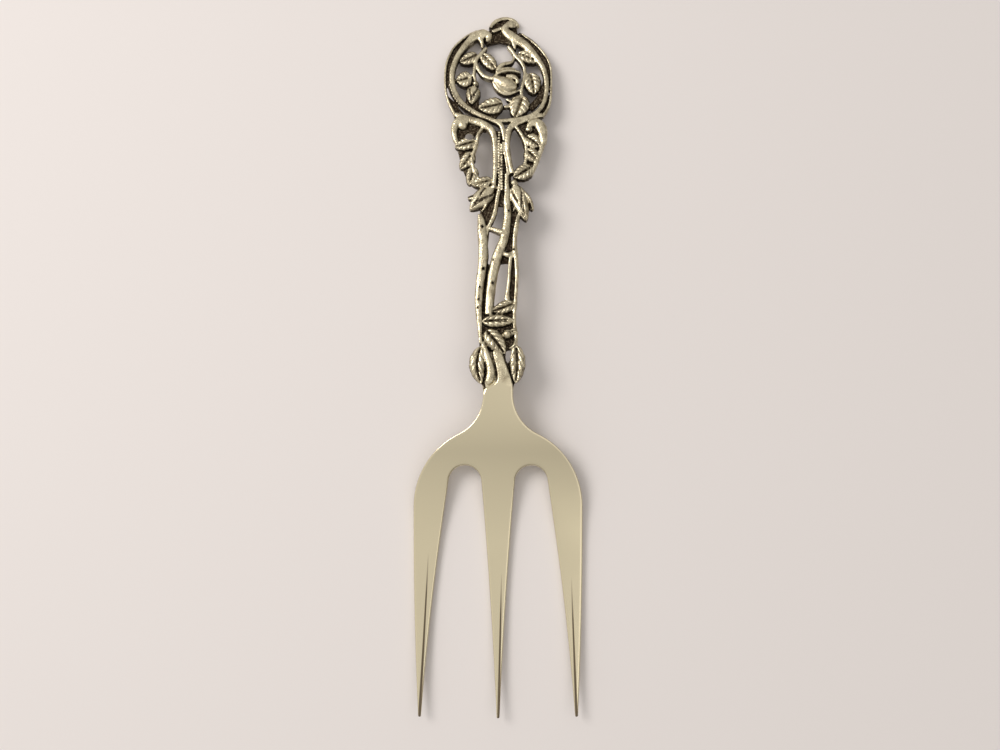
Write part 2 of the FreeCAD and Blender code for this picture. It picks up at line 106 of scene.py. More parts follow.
def newMesh(name, vertices, faces, edges=()):
    mesh = bpy.data.meshes.new(name)
    points = [tuple(map(float, v)) for v in vertices]
    mesh.from_pydata(points, [tuple(e) for e in edges], [tuple(map(int, f)) for f in faces])
    mesh.update()
    return addObject(name, mesh)


def newLine(name, points):
    return newMesh(name, points, [], [(i, i + 1) for i in range(len(points) - 1)])


def takeMesh(thing, name):  # the evaluated object as a plain mesh in a new object. The old one goes
    bpy.context.view_layer.update()
    graph = bpy.context.evaluated_depsgraph_get()
    mesh = bpy.data.meshes.new_from_object(thing.evaluated_get(graph))
    bpy.data.objects.remove(thing)
    return addObject(name, mesh)


def store(thing, name, values, kind="FLOAT"):  # keeps a value at each point of a mesh
    layer = thing.data.attributes.new(name, kind, "POINT").data
    values = np.ascontiguousarray(values, dtype=np.float32).ravel()
    layer.foreach_set("value" if kind == "FLOAT" else "vector", values)


def inked(thing, values):  # stores how dark the sunk lines of a form are
    store(thing, "ink", np.broadcast_to(np.asarray(values, dtype=np.float32), (len(thing.data.vertices),)))
    return thing


def joinMeshes(things, name):
    vertices, faces, inks, start = [], [], [], 0
    for thing in things:
        mesh = thing.data
        ink = np.zeros(len(mesh.vertices), dtype=np.float32)
        if "ink" in mesh.attributes:
            mesh.attributes["ink"].data.foreach_get("value", ink)
        inks.append(ink)
        vertices += [tuple(v.co) for v in mesh.vertices]
        faces += [tuple(start + i for i in polygon.vertices) for polygon in mesh.polygons]
        start += len(mesh.vertices)
        bpy.data.objects.remove(thing)
    return inked(newMesh(name, vertices, faces), np.concatenate(inks))


def combine(thing, other, operation):  # a solid union or difference of two closed meshes
    cut = thing.modifiers.new("combine", "BOOLEAN")
    cut.operation = operation
    cut.solver = "MANIFOLD"
    cut.object = other
    result = takeMesh(thing, thing.name)
    bpy.data.objects.remove(other)
    return result


# Node trees
def addNode(tree, kind, settings, sockets):  # a key such as i0 is the number of a socket, any other its name
    made = tree.nodes.new(kind)
    for key, value in (settings or {}).items():
        setattr(made, key, value)
    for key, value in sockets.items():
        socket = made.inputs[int(key[1:]) if key[1:].isdigit() else key.replace("_", " ")]
        if isinstance(value, bpy.types.NodeSocket):
            tree.links.new(value, socket)
        else:
            socket.default_value = value
    return made


class Tree:  # a geometry node tree under construction
    def __init__(self, name, inputs):
        self.group = bpy.data.node_groups.new(name, "GeometryNodeTree")
        face = self.group.interface
        face.new_socket("Geometry", in_out="OUTPUT", socket_type="NodeSocketGeometry")
        inputs = [("Geometry", "Geometry", None)] + inputs + [("Material", "Material", None)]
        for label, kind, value in inputs:
            socket = face.new_socket(label, in_out="INPUT", socket_type="NodeSocket" + kind)
            if value is not None:
                socket.default_value = value
        self.inputs = self.group.nodes.new("NodeGroupInput").outputs
        self.output = self.group.nodes.new("NodeGroupOutput")

    def node(self, kind, settings=None, **sockets):
        return addNode(self.group, kind, settings, sockets)

    def math(self, operation, a, b=0.0):
        return self.node("ShaderNodeMath", {"operation": operation}, i0=a, i1=b).outputs[0]

    def vector(self, operation, **sockets):
        return self.node("ShaderNodeVectorMath", {"operation": operation}, **sockets).outputs[0]

    def compare(self, operation, a, b):
        return self.node("FunctionNodeCompare", {"operation": operation}, i0=a, i1=b).outputs[0]

    def attribute(self, name, kind="FLOAT"):
        return self.node("GeometryNodeInputNamedAttribute", {"data_type": kind}, Name=name).outputs[0]

    def move(self, geometry, **sockets):
        return self.node("GeometryNodeSetPosition", None, Geometry=geometry, **sockets).outputs[0]

    def keep(self, name, value):  # stores a value on the geometry that came in
        return self.node("GeometryNodeStoreNamedAttribute", None, Geometry=self.inputs["Geometry"],
                         Name=name, Value=value).outputs[0]

    def finish(self, geometry):
        realized = self.node("GeometryNodeRealizeInstances", None, Geometry=geometry).outputs[0]
        material = self.inputs["Material"]
        painted = self.node("GeometryNodeSetMaterial", None, Geometry=realized, Material=material).outputs[0]
        self.group.links.new(painted, self.output.inputs[0])
        return self.group


def runTree(thing, group, values, name):  # sets a tree's inputs by identifier, runs it and keeps the mesh
    modifier = thing.modifiers.new(group.name, "NODES")
    modifier.node_group = group
    for item in group.interface.items_tree:
        if item.in_out == "INPUT" and item.name in values:
            modifier[item.identifier] = values[item.name]
    return takeMesh(thing, name)


# Branches: an arched section on flanks that reach down, swept along a line and roughened like bark
branch = {
    "segments": 20, "flank": 7.0, "flankFrom": 0.05, "crownTo": -0.001, "crownPower": 0.5,
    "smoothBark": 0.12, "deepBark": 0.42, "barkSize": 0.9, "barkStretch": (1.0, 0.3, 1.0), "barkDetail": 3.0,
    "barked": ("trunk", "branchLeft", "branchRight", "branchFork", "twigStub"),
}


def makeBranchTree():
    tree = Tree("branchTree", [("Segments", "Int", 20), ("Flank", "Float", 7.0), ("Seed", "Float", 1.0),
                               ("Bark Depth", "Float", 0.12), ("Bark Size", "Float", 0.9)])
    source = tree.inputs
    place = tree.node("GeometryNodeInputPosition").outputs[0]
    normal = tree.node("GeometryNodeInputNormal").outputs[0]
    circle = tree.node("GeometryNodeCurvePrimitiveCircle", None, Resolution=source["Segments"], Radius=1.0)
    plan = tree.node("ShaderNodeSeparateXYZ", None, Vector=place).outputs
    crown = tree.math("POWER", tree.math("ABSOLUTE", plan["Y"]), branch["crownPower"])
    crown = tree.math("MULTIPLY", crown, -1.0)
    broad = tree.node("ShaderNodeCombineXYZ", None, X=plan["X"], Y=crown).outputs[0]
    reach = tree.node("ShaderNodeCombineXYZ", None, Y=source["Flank"]).outputs[0]
    upper = tree.compare("LESS_THAN", plan["Y"], branch["crownTo"])
    lower = tree.compare("GREATER_THAN", plan["Y"], branch["flankFrom"])
    arch = tree.move(circle.outputs[0], Selection=upper, Position=broad)
    section = tree.move(arch, Selection=lower, Offset=reach)
    line = tree.node("GeometryNodeMeshToCurve", None, Mesh=source["Geometry"]).outputs[0]
    level = tree.node("GeometryNodeSetCurveNormal", {"mode": "Z_UP"}, Curve=line).outputs[0]
    swept = tree.node("GeometryNodeCurveToMesh", None, Curve=level, Profile_Curve=section,
                      Scale=tree.attribute("girth"), Fill_Caps=True).outputs[0]
    stretch = tree.vector("MULTIPLY", i0=place, i1=branch["barkStretch"])
    size = tree.math("DIVIDE", 1.0, source["Bark Size"])
    noise = tree.node("ShaderNodeTexNoise", {"noise_dimensions": "4D"}, Vector=stretch, W=source["Seed"],
                      Scale=size, Detail=branch["barkDetail"]).outputs[0]
    lift = tree.math("MULTIPLY", tree.math("SUBTRACT", noise, 0.5), source["Bark Depth"])
    return tree.finish(tree.move(swept, Offset=tree.vector("SCALE", i0=normal, Scale=lift)))


def makePlaceTree():  # sets a form on each point, turned and sized by the point's own values
    tree = Tree("placeTree", [("Form", "Object", None)])
    form = tree.node("GeometryNodeObjectInfo", None, Object=tree.inputs["Form"]).outputs["Geometry"]
    turn = tree.attribute("turn", "FLOAT_VECTOR")
    turn = tree.node("FunctionNodeEulerToRotation", None, Euler=turn).outputs[0]
    placed = tree.node("GeometryNodeInstanceOnPoints", None, Points=tree.inputs["Geometry"], Instance=form,
                       Rotation=turn, Scale=tree.attribute("size", "FLOAT_VECTOR"))
    return tree.finish(placed.outputs[0])


def makeBeadTree():  # rows of small beads at an even spacing along lines
    tree = Tree("beadTree", [("Spacing", "Float", 0.9), ("Radius", "Float", 0.3)])
    source = tree.inputs
    line = tree.node("GeometryNodeMeshToCurve", None, Mesh=source["Geometry"]).outputs[0]
    marks = tree.node("GeometryNodeResampleCurve", {"mode": "LENGTH"}, Curve=line, Length=source["Spacing"])
    bead = tree.node("GeometryNodeMeshIcoSphere", None, Radius=source["Radius"], Subdivisions=2).outputs[0]
    placed = tree.node("GeometryNodeInstanceOnPoints", None, Points=marks.outputs[0], Instance=bead)
    return tree.finish(placed.outputs[0])


# Values that the metal reads: the dark lines of the forms, and how deep a point lies in the carving
carving = {
    "inkReach": 0.00012, "reach": 0.0035, "clear": 3e-5, "blur": 2,
    "leans": [(0, 0, 0), (0.9, 0, 0), (-0.9, 0, 0), (0, 0.9, 0), (0, -0.9, 0),
              (0.6, 0.6, 0), (-0.6, 0.6, 0), (0.6, -0.6, 0), (-0.6, -0.6, 0)],
}


def makeInkTree():  # carries the dark lines of the loose forms over to the blended mesh
    tree = Tree("inkTree", [("Forms", "Object", None)])
    forms = tree.node("GeometryNodeObjectInfo", None, Object=tree.inputs["Forms"]).outputs["Geometry"]
    ink = tree.attribute("ink")
    near = tree.node("GeometryNodeSampleNearestSurface", {"data_type": "FLOAT"}, Mesh=forms, Value=ink)
    gap = tree.node("GeometryNodeProximity", None, i0=forms).outputs["Distance"]
    shown = tree.math("MULTIPLY", near.outputs[0], tree.math("LESS_THAN", gap, carving["inkReach"]))
    return tree.finish(tree.keep("ink", shown))


def makeHollowTree():  # sends short rays out from each point and stores how much metal they meet
    tree = Tree("hollowTree", [])
    normal = tree.node("GeometryNodeInputNormal").outputs[0]
    place = tree.node("GeometryNodeInputPosition").outputs[0]
    start = tree.vector("MULTIPLY_ADD", i0=normal, i1=[carving["clear"]] * 3, i2=place)
    total = 0.0
    for lean in carving["leans"]:
        way = tree.vector("ADD", i0=normal, i1=lean)
        ray = tree.node("GeometryNodeRaycast", None, Target_Geometry=tree.inputs["Geometry"],
                        Source_Position=start, Ray_Direction=way, Ray_Length=carving["reach"]).outputs
        near = tree.math("SUBTRACT", 1.0, tree.math("DIVIDE", ray["Hit Distance"], carving["reach"]))
        total = tree.math("ADD", tree.math("MULTIPLY", ray["Is Hit"], near), total)
    share = tree.math("DIVIDE", total, float(len(carving["leans"])))
    soft = tree.node("GeometryNodeBlurAttribute", None, Iterations=carving["blur"], i0=share).outputs[0]
    return tree.finish(tree.keep("hollow", soft))


# Forms of the ornament, each one unit long, its top over z = 0 and its flanks straight down
formFoot = 1.2
leastHalf = 0.03


def reliefForm(name, halfWidth, height, lines, rows, columns, bend=0.0):
    u = np.linspace(0, 1, rows)[:, None] * np.ones(columns)
    v = np.linspace(-1, 1, columns)[None, :] * np.ones((rows, 1))
    half = np.maximum(halfWidth(u), leastHalf)
    top = np.stack([u, v * half + bend * np.sin(pi * u), height(u, v)], axis=-1).reshape(-1, 3)
    low = top * (1, 1, 0) - (0, 0, formFoot)
    count = rows * columns
    faces = []
    for i in range(rows - 1):
        for j in range(columns - 1):
            a = i * columns + j
            faces.append((a, a + columns, a + columns + 1, a + 1))
            faces.append((count + a, count + a + 1, count + a + columns + 1, count + a + columns))
    edge = [i * columns for i in range(rows)] + [(rows - 1) * columns + j for j in range(1, columns)]
    edge += [i * columns + columns - 1 for i in range(rows - 2, -1, -1)]
    edge += [j for j in range(columns - 2, 0, -1)]
    for a, b in zip(edge, edge[1:] + edge[:1]):
        faces.append((b, a, count + a, count + b))
    ink = lines(u, v).ravel()
    return inked(newMesh(name, np.vstack([top, low]), faces), np.concatenate([ink, ink]))


def groove(distance, width):
    return np.exp(-(distance / width) ** 2)


def brink(v, gain, start):  # a dark line along both edges of a form
    return np.clip(np.abs(v) * gain - start, 0, 1)


def leafForm(name, teeth, bend, blunt=0.42):  # swelling lobes, a sunk midrib, slanting veins, a toothed edge
    def halfWidth(u):
        body = u ** blunt * (1 - u) ** 0.62
        saw = (u * teeth) % 1.0
        return body / body.max() * 0.5 * (0.93 + 0.12 * (1 - saw)) + 0.02

    def vein(u, v):
        veins = ((u * teeth - np.abs(v) * 1.2) % 1.0) - 0.5
        return groove(veins, 0.15) * np.clip(np.abs(v) * 3, 0, 1) * (1 - np.abs(v) ** 3)

    def height(u, v):
        lobe = 0.84 + 0.16 * np.sin(pi * np.abs(v)) - 0.16 * np.abs(v) ** 6
        ends = 0.82 + 0.18 * np.sin(pi * u ** 0.8)
        return ends * (lobe - 0.09 * vein(u, v)) - 0.17 * groove(v, 0.10)

    def lines(u, v):
        return np.clip(0.9 * groove(v, 0.07) + 0.5 * vein(u, v) + brink(v, 12, 11.2), 0, 1)
    return reliefForm(name, halfWidth, height, lines, 34, 23, bend)


def budForm(name):  # a closed rosebud with overlapping petals that wind to its point
    def halfWidth(u):
        return 0.5 * np.sin(pi * np.clip(u, 0, 1) ** 0.8) ** 0.6 * (1 - 0.2 * u)

    def seams(u, v):
        first = groove(v - (0.9 - 1.5 * u), 0.09)
        second = groove(v + 0.75 - 0.95 * u, 0.08) * (u > 0.15)
        third = groove(v - 0.55 * (1 - u), 0.07) * (u > 0.5)
        return np.clip(first + second + third, 0, 1) * np.clip(4 * (1 - np.abs(v)), 0, 1)

    def height(u, v):
        dome = 0.45 + 0.55 * np.sqrt(np.maximum(1 - v ** 2, 0)) * np.sin(pi * (0.12 + 0.8 * u)) ** 0.5
        return dome - 0.15 * seams(u, v)
    return reliefForm(name, halfWidth, height, lambda u, v: seams(u, v) + brink(v, 10, 9), 32, 23)


def petalForm(name):  # a curled petal, high along its outer lip and sunk behind it
    def halfWidth(u):
        return 0.5 * np.sin(pi * (0.06 + 0.88 * u)) ** 0.6

    def height(u, v):
        lip = groove(v - 0.35, 0.5)
        return 0.60 + 0.40 * lip * np.sin(pi * (0.1 + 0.8 * u)) - 0.12 * groove(v + 0.45, 0.2)

    def lines(u, v):
        return groove(v + 0.6, 0.3) + groove(v - 1, 0.08)
    return reliefForm(name, halfWidth, height, lines, 24, 15, bend=0.22)


def dropForm(name):  # a swelling smooth petal, round at the base
    def halfWidth(u):
        return 0.5 * np.sin(pi * np.clip(u, 0, 1) ** 0.7) ** 0.6

    def height(u, v):
        return 0.5 + 0.5 * np.sqrt(np.maximum(1 - v ** 2, 0)) * np.sin(pi * (0.2 + 0.75 * u)) ** 0.5
    return reliefForm(name, halfWidth, height, lambda u, v: brink(v, 12, 11), 32, 23)


def knobForm(name, rings=14, sides=36):  # a round scroll end with a groove that winds into it
    vertices, faces, ink = [(0, 0, 1.0)], [], [0]
    for i in range(1, rings + 1):
        r = i / rings
        for j in range(sides):
            angle = 2 * pi * j / sides
            line = groove((angle / (2 * pi) + r) % 1.0 - 0.5, 0.08) * (0.45 < r < 0.95)
            rise = 0.5 + 0.5 * sqrt(max(1 - r ** 2, 0)) - 0.1 * line
            vertices.append((0.5 * r * cos(angle), 0.5 * r * sin(angle), rise))
            ink.append(max(line, i == rings))
    for j in range(sides):
        faces.append((0, 1 + j, 1 + (j + 1) % sides))
    for i in range(rings - 1):
        for j in range(sides):
            a, b = 1 + i * sides + j, 1 + i * sides + (j + 1) % sides
            faces.append((a, a + sides, b + sides, b))
    last = 1 + (rings - 1) * sides
    start = len(vertices)
    for j in range(sides):
        angle = 2 * pi * j / sides
        vertices.append((0.5 * cos(angle), 0.5 * sin(angle), -formFoot))
        a, b = j, (j + 1) % sides
        faces.append((last + a, start + a, start + b, last + b))
    faces.append(tuple(start + j for j in range(sides - 1, -1, -1)))
    return inked(newMesh(name, vertices, faces), np.array(ink + [1] * sides))


# Ornament of the handle: each point of a vine is x, y, half width and height above the back
vines = {
    "ringLeft": [(-3.1, 95.6, .7, 2.6), (-2.9, 96.9, 1.3, 2.9), (-4.6, 97.7, 1.9, 3.0),
        (-7, 97.2, 1.5, 2.8), (-9.3, 95.0, 1.1, 2.6), (-11.8, 91.4, .9, 2.5), (-13.3, 88, .88, 2.4),
        (-14.05, 84.4, .9, 2.4), (-13.7, 79.8, .95, 2.4), (-12.2, 76.3, 1.0, 2.4), (-9.8, 73.4, .95, 2.4),
        (-6.2, 71, .8, 2.4), (-2.8, 69.5, .7, 2.4), (.5, 67.8, .75, 2.4), (1.6, 65.4, .8, 2.4),
        (1.9, 62.4, .6, 2.3)],
    "ringRight": [(3.6, 101.4, .9, 2.6), (2.2, 100.2, 1.1, 2.7), (2.4, 98.7, 1.4, 2.8),
        (3.8, 97.3, 1.6, 2.8), (5.5, 96.1, 1.5, 2.7), (8, 94.3, 1.35, 2.6), (10.4, 91.6, 1.15, 2.5),
        (12.6, 88.4, .9, 2.4), (13.9, 85.6, .8, 2.4), (14.6, 82, .75, 2.4), (14.5, 77.8, .7, 2.3),
        (13.4, 74, .7, 2.3), (11, 71.2, .7, 2.3), (7.2, 69.6, .65, 2.3), (2.2, 68.9, .65, 2.4),
        (-.4, 68.9, .5, 2.3)],
    "rimLeft": [(-6.4, 99.3, .35, 1.9), (-9.8, 97.3, .38, 1.9), (-13.4, 93.7, .35, 1.9),
        (-15.6, 88.8, .35, 1.9), (-16.1, 84, .35, 1.9), (-15.9, 79, .35, 1.9), (-14.9, 75, .4, 1.9),
        (-13.4, 71.8, .45, 1.9), (-12.7, 70.2, .45, 1.9)],
    "rimRight": [(7.2, 98.2, .35, 1.9), (11.1, 94.9, .38, 1.9), (14.2, 91.1, .38, 1.9),
        (15.9, 87, .35, 1.9), (16.1, 82, .35, 1.9), (15.8, 76, .38, 1.9), (14.8, 72.8, .4, 1.9),
        (13.2, 70.4, .45, 1.9)],
    "rimTop": [(-2.4, 100.4, .55, 1.7), (-1.2, 102.4, .6, 1.7), (.6, 103.4, .6, 1.7), (2.6, 103.7, .6, 1.7),
        (4.8, 103, .6, 1.7), (6.1, 101.2, .55, 1.7)],
    "topBar": [(-1.9, 98.9, .55, 2.1), (1, 100.1, .55, 2.1)],
    "prongLeft": [(-5.6, 96.9, 1.1, 2.7), (-5, 94.9, .6, 2.4), (-4.8, 93.1, .3, 1.9)],
    "prongRight": [(4.5, 96.4, 1.1, 2.6), (4.9, 94.4, .7, 2.3), (5.2, 92.7, .3, 1.8)],
    "vineA": [(-3.5, 93.4, .45, 2.1), (-5, 91.5, .6, 2.3), (-6.5, 89.5, .6, 2.3), (-7.1, 87, .5, 2.2),
        (-7.3, 84.5, .5, 2.2), (-6.9, 81.6, .45, 2.1)],
    "roseStem": [(-6.9, 88.4, .5, 2.2), (-5.8, 85.5, .55, 2.3), (-4.4, 83.7, .6, 2.4),
        (-2.5, 82.9, .65, 2.5), (-.4, 82.6, .8, 2.6)],
    "rosePetal": [(-.4, 84.4, .5, 2.5), (.1, 86, .65, 2.7), (1.1, 87.2, .7, 2.7), (2.8, 87.8, .6, 2.6),
        (4.2, 88.3, .45, 2.4), (4.8, 89.6, .35, 2.2), (4.9, 90.6, .3, 2.1)],
    "roseRidgeB": [(2.4, 83.4, .5, 2.9), (4.4, 83.2, .75, 3.0), (5.7, 82.2, .65, 2.9),
        (5.9, 80.9, .4, 2.6)],
    "roseRidgeC": [(.3, 85.3, .4, 2.4), (1.8, 86.0, .45, 2.5), (3.6, 86.2, .4, 2.4), (5.2, 85.9, .3, 2.2)],
    "roseSepal": [(-1.5, 81.7, .5, 2.7), (-.6, 79.9, .7, 2.7), (.9, 78.3, .7, 2.5), (3, 77.7, .65, 2.4),
        (5.4, 78.5, .45, 2.3), (6.8, 79.1, .35, 2.1)],
    "leafStemA": [(-7.2, 84.4, .4, 2), (-9, 83.2, .4, 2.0)],
    "vineB": [(3, 93.9, .45, 2.1), (4.3, 92.2, .5, 2.2), (5.2, 90.6, .6, 2.3), (6.6, 89, .6, 2.3),
        (7.8, 86.8, .55, 2.3), (8.1, 84.5, .52, 2.2), (7.7, 82, .5, 2.2), (7.1, 79.5, .5, 2.2),
        (7.1, 76.6, .5, 2.1)],
    "twigB": [(7.1, 76.9, .45, 2.1), (5.4, 76.2, .45, 2), (4, 75.3, .45, 2), (2.5, 76.1, .4, 1.9)],
    "linkB": [(4.4, 75.2, .45, 1.9), (3.1, 73.8, .55, 1.9), (1.8, 73.6, .45, 1.9)],
    "leafStemB": [(8, 85, .4, 2), (9.6, 83.4, .4, 2)],
    "stemLeft": [(-13, 71, .8, 2.2), (-11, 70.2, .95, 2.3), (-8, 69.1, 1.15, 2.4), (-5, 68, 1.25, 2.5),
        (-2.5, 66.4, 1.15, 2.5), (-1.4, 64.4, 1.0, 2.4), (-.95, 61.5, .9, 2.4), (-.8, 57.5, .8, 2.4),
        (-.85, 53, .7, 2.4), (-1.1, 50, .65, 2.3), (-1.3, 48, .65, 2.3)],
    "stemRight": [(13.2, 70.8, .7, 2.1), (10, 70, .85, 2.2), (7, 68.9, 1.0, 2.4), (4.9, 67.8, 1.05, 2.4),
        (3.5, 66.4, 1.0, 2.4), (2.95, 64.2, .9, 2.4), (2.75, 61.5, .8, 2.4), (3, 58.5, .75, 2.4),
        (3.6, 55, .7, 2.3), (4.3, 52, .6, 2.3)],
    "stemMiddle": [(1.6, 62, .55, 2.2), (2.1, 58.5, .5, 2.2), (2.6, 55, .5, 2.2), (3, 51.5, .5, 2.2)],
    "scrollLeft": [(-9.0, 69, 1.2, 2.4), (-11.4, 69.0, 1.35, 2.6), (-12.8, 67.6, 1.2, 2.5),
        (-13.2, 65.4, .95, 2.4), (-12.9, 63.4, .75, 2.3), (-12.2, 61.6, .6, 2.2)],
    "vineC": [(-4.4, 66.9, .5, 2.2), (-6, 64.5, .5, 2.2), (-6.3, 62.3, .5, 2.2), (-6.8, 60.3, .5, 2.2),
        (-7.5, 58, .5, 2.2), (-7.8, 56, .5, 2.2), (-7.3, 53.6, .48, 2.2), (-6.6, 51.6, .45, 2.1),
        (-5, 49.6, .45, 2.1)],
    "scrollRight": [(9.0, 66.4, .7, 2.2), (9.8, 67.8, 1.1, 2.4), (11.6, 68.2, 1.6, 2.5),
        (12.9, 66.6, 1.7, 2.5), (13.4, 64.4, 1.4, 2.4), (13.6, 62, .9, 2.2)],
    "vineD": [(5.2, 67, .5, 2.2), (6.3, 65.6, .5, 2.2), (7.3, 63.8, .5, 2.2), (8.1, 61.8, .5, 2.2),
        (8.4, 59.8, .5, 2.2), (8.4, 57.8, .5, 2.2), (8.1, 55.6, .48, 2.2), (7.2, 53.2, .45, 2.1)],
    "plateRight": [(13.7, 62.4, .7, 2.1), (12.8, 59.6, .65, 2.1), (11.9, 57, .65, 2.1),
        (10.9, 54.4, .6, 2.1), (9.7, 51.6, .5, 2.0)],
    "twigF": [(.7, 50, .55, 2.2), (.3, 47, .6, 2.3), (-.3, 44, .62, 2.3), (-.7, 41, .65, 2.3),
        (-1.3, 38.8, .65, 2.3), (-2.1, 36.8, .62, 2.2), (-2.9, 35.2, .6, 2.2), (-3.4, 33, .5, 2.1)],
    "trunk": [(2.5, 52, .65, 2.2), (2.6, 48, .8, 2.3), (2.55, 44, 1.0, 2.4), (2.8, 40, 1.15, 2.5),
        (2.6, 37, 1.25, 2.6), (2.2, 34, 1.35, 2.7), (1.5, 31, 1.4, 2.75), (.5, 28.5, 1.45, 2.8),
        (-.4, 26, 1.5, 2.8), (-1.0, 23.5, 1.5, 2.8), (-1.6, 21, 1.5, 2.8), (-2.0, 18, 1.45, 2.8),
        (-2.3, 15, 1.4, 2.8), (-2.5, 12, 1.3, 2.7), (-2.7, 9, 1.2, 2.6)],
    "branchLeft": [(-5.4, 39.4, .6, 2), (-4.9, 36.8, 1.2, 2.4), (-4.65, 33.5, 1.4, 2.6),
        (-4.4, 30, 1.45, 2.7), (-4.3, 27, 1.5, 2.7), (-4.5, 24, 1.45, 2.7), (-4.9, 21, 1.35, 2.7),
        (-5.3, 18, 1.3, 2.7), (-5.5, 15, 1.25, 2.6), (-5.6, 12, 1.1, 2.5), (-5.5, 9, .95, 2.4),
        (-5.3, 6, .8, 2.4), (-5.15, 3, .6, 2.4), (-4.9, .6, .5, 2.4)],
    "branchRight": [(6, 39.4, .45, 2), (5.6, 37, .7, 2.2), (5, 33.5, .75, 2.3), (4.8, 30.5, .75, 2.3),
        (4.9, 28, .9, 2.4), (5.3, 25, .62, 2.3), (5.4, 20, .58, 2.3), (5.2, 16, .55, 2.3),
        (5, 12.6, .55, 2.2), (4.7, 9, .5, 2.2), (4.8, 5, .5, 2.1)],
    "branchFork": [(4.7, 27.8, .5, 2.3), (3.7, 25.8, .55, 2.3), (3.3, 22, .52, 2.3), (3.1, 19, .52, 2.3),
        (2.8, 16, .6, 2.3), (2.6, 13.6, .95, 2.2)],
    "cross": [(1.4, 27.4, .6, 2.3), (3, 26.8, .8, 2.5), (4.6, 27.6, .6, 2.3)],
    "twigStub": [(-2.6, 35, .55, 2.2), (-1, 34.5, .75, 2.5), (1.2, 33.6, .85, 2.8), (2.2, 33.4, .6, 2.8)],
    "rimClusterRight": [(4.9, 5.4, .5, 2), (5.2, 2.6, .5, 2.2), (5, -.6, .5, 2.3)],
    "tongue": [(-4.6, 1.0, .5, 2.3), (-3.8, -1, .8, 2.5), (-3.0, -3.4, 1.0, 2.7), (-2.45, -5.4, 1.15, 2.8),
        (-2.0, -7.4, 1.3, 2.85), (-2.15, -9.1, 1.4, 2.85), (-2.7, -10.3, 1.3, 2.8), (-3.4, -10.9, .9, 2.7)],
}

# Leaves, buds and petals: form, base, tip, width, height above the back
forms = [
    ("leaf", (-6.4, 90.9), (-11.7, 88.2), 4.1, 2.3), ("leaf", (-5, 91), (-.6, 85.5), 4.1, 2.3),
    ("leaf", (-8, 83.3), (-12.8, 81.9), 5.3, 2.3), ("leaf", (1.4, 74.5), (-5.9, 72.8), 5.5, 2.4),
    ("leaf", (6, 91.2), (12.2, 88.4), 4.1, 2.3), ("leaf", (9.7, 84.6), (10.9, 77.5), 5.2, 2.4),
    ("leaf", (7.4, 77.1), (4.9, 69.8), 6.0, 2.4), ("bud", (-7.3, 80.2), (-8.1, 74.0), 5.0, 2.7),
    ("leaf", (-6.8, 62.2), (-12.9, 60.4), 4.1, 2.4), ("leaf", (-7.6, 58.6), (-11.2, 53.4), 4.0, 2.4),
    ("leaf", (-7.2, 54.0), (-8.6, 48.4), 3.6, 2.4), ("leaf", (-1.8, 49.9), (-7.8, 48.5), 3.5, 2.3),
    ("leaf", (8.3, 63.6), (12.4, 60.4), 4.6, 2.5), ("leaf", (8.3, 59.4), (11.9, 55.6), 4.4, 2.5),
    ("leaf", (9.9, 54.0), (4.6, 50.6), 4.8, 2.5), ("bud", (-1.6, 47.4), (-8.3, 40.6), 6.2, 2.8),
    ("bud", (4.8, 48.4), (8.3, 37.2), 5.8, 2.8), ("petal", (-1.8, 47), (-8.9, 44.2), 2.4, 2.5),
    ("petal", (-8.2, 41), (-3.2, 45.4), 2.4, 2.6), ("petal", (-3, 45.4), (-5, 40.2), 1.9, 2.3),
    ("petal", (4.4, 47.2), (4.3, 40), 1.8, 2.3), ("petal", (6, 47.4), (10.2, 40.6), 2.2, 2.5),
    ("petal", (8.4, 38), (5.8, 46), 2.0, 2.7), ("leaf", (4.7, 12.4), (-1.6, 10.0), 3.8, 2.7),
    ("leaf", (-4.4, 7.0), (4.7, 7.2), 3.9, 2.9), ("leaf", (-3.4, 4.4), (1.9, -2.5), 5.3, 3.0),
    ("leaf", (3.4, 4.3), (5.8, 3.6), 2.1, 2.4), ("petal", (4.8, 2.1), (2.9, -.9), 2.4, 2.9),
    ("earLeft", (-5.0, -.2), (-4.9, -11), 4.5, 2.8), ("earRight", (5.1, .2), (5.0, -10.8), 4.6, 2.8),
    ("petal", (-1.6, 82.9), (6.9, 84.3), 3.0, 3.2), ("drop", (5.5, 78.9), (-2.0, 82.9), 4.7, 3.6),
]

# Scroll ends, berries and joints: x, y, across, along, turn, height
knobs = [
    (-3.2, 95.5, 1.7, 1.6, 40, 2.7), (3.8, 101.1, 3.4, 3.2, 200, 2.6), (-6.9, 81, 2.0, 2.0, 0, 2.5),
    (-10.7, 67.6, 3.8, 3.4, 120, 2.5), (-1.3, 47.6, 2.2, 2.2, 0, 2.6), (4.7, 48.9, 2.4, 2.4, 0, 2.6),
    (2.7, 3.3, 3.2, 3.0, 80, 3.0), (9.2, 66, 2.6, 2.4, 0, 2.3), (3.1, 26.8, 1.9, 1.9, 0, 2.7),
    (1.3, 33.6, 2.1, 1.9, 0, 2.9),
]

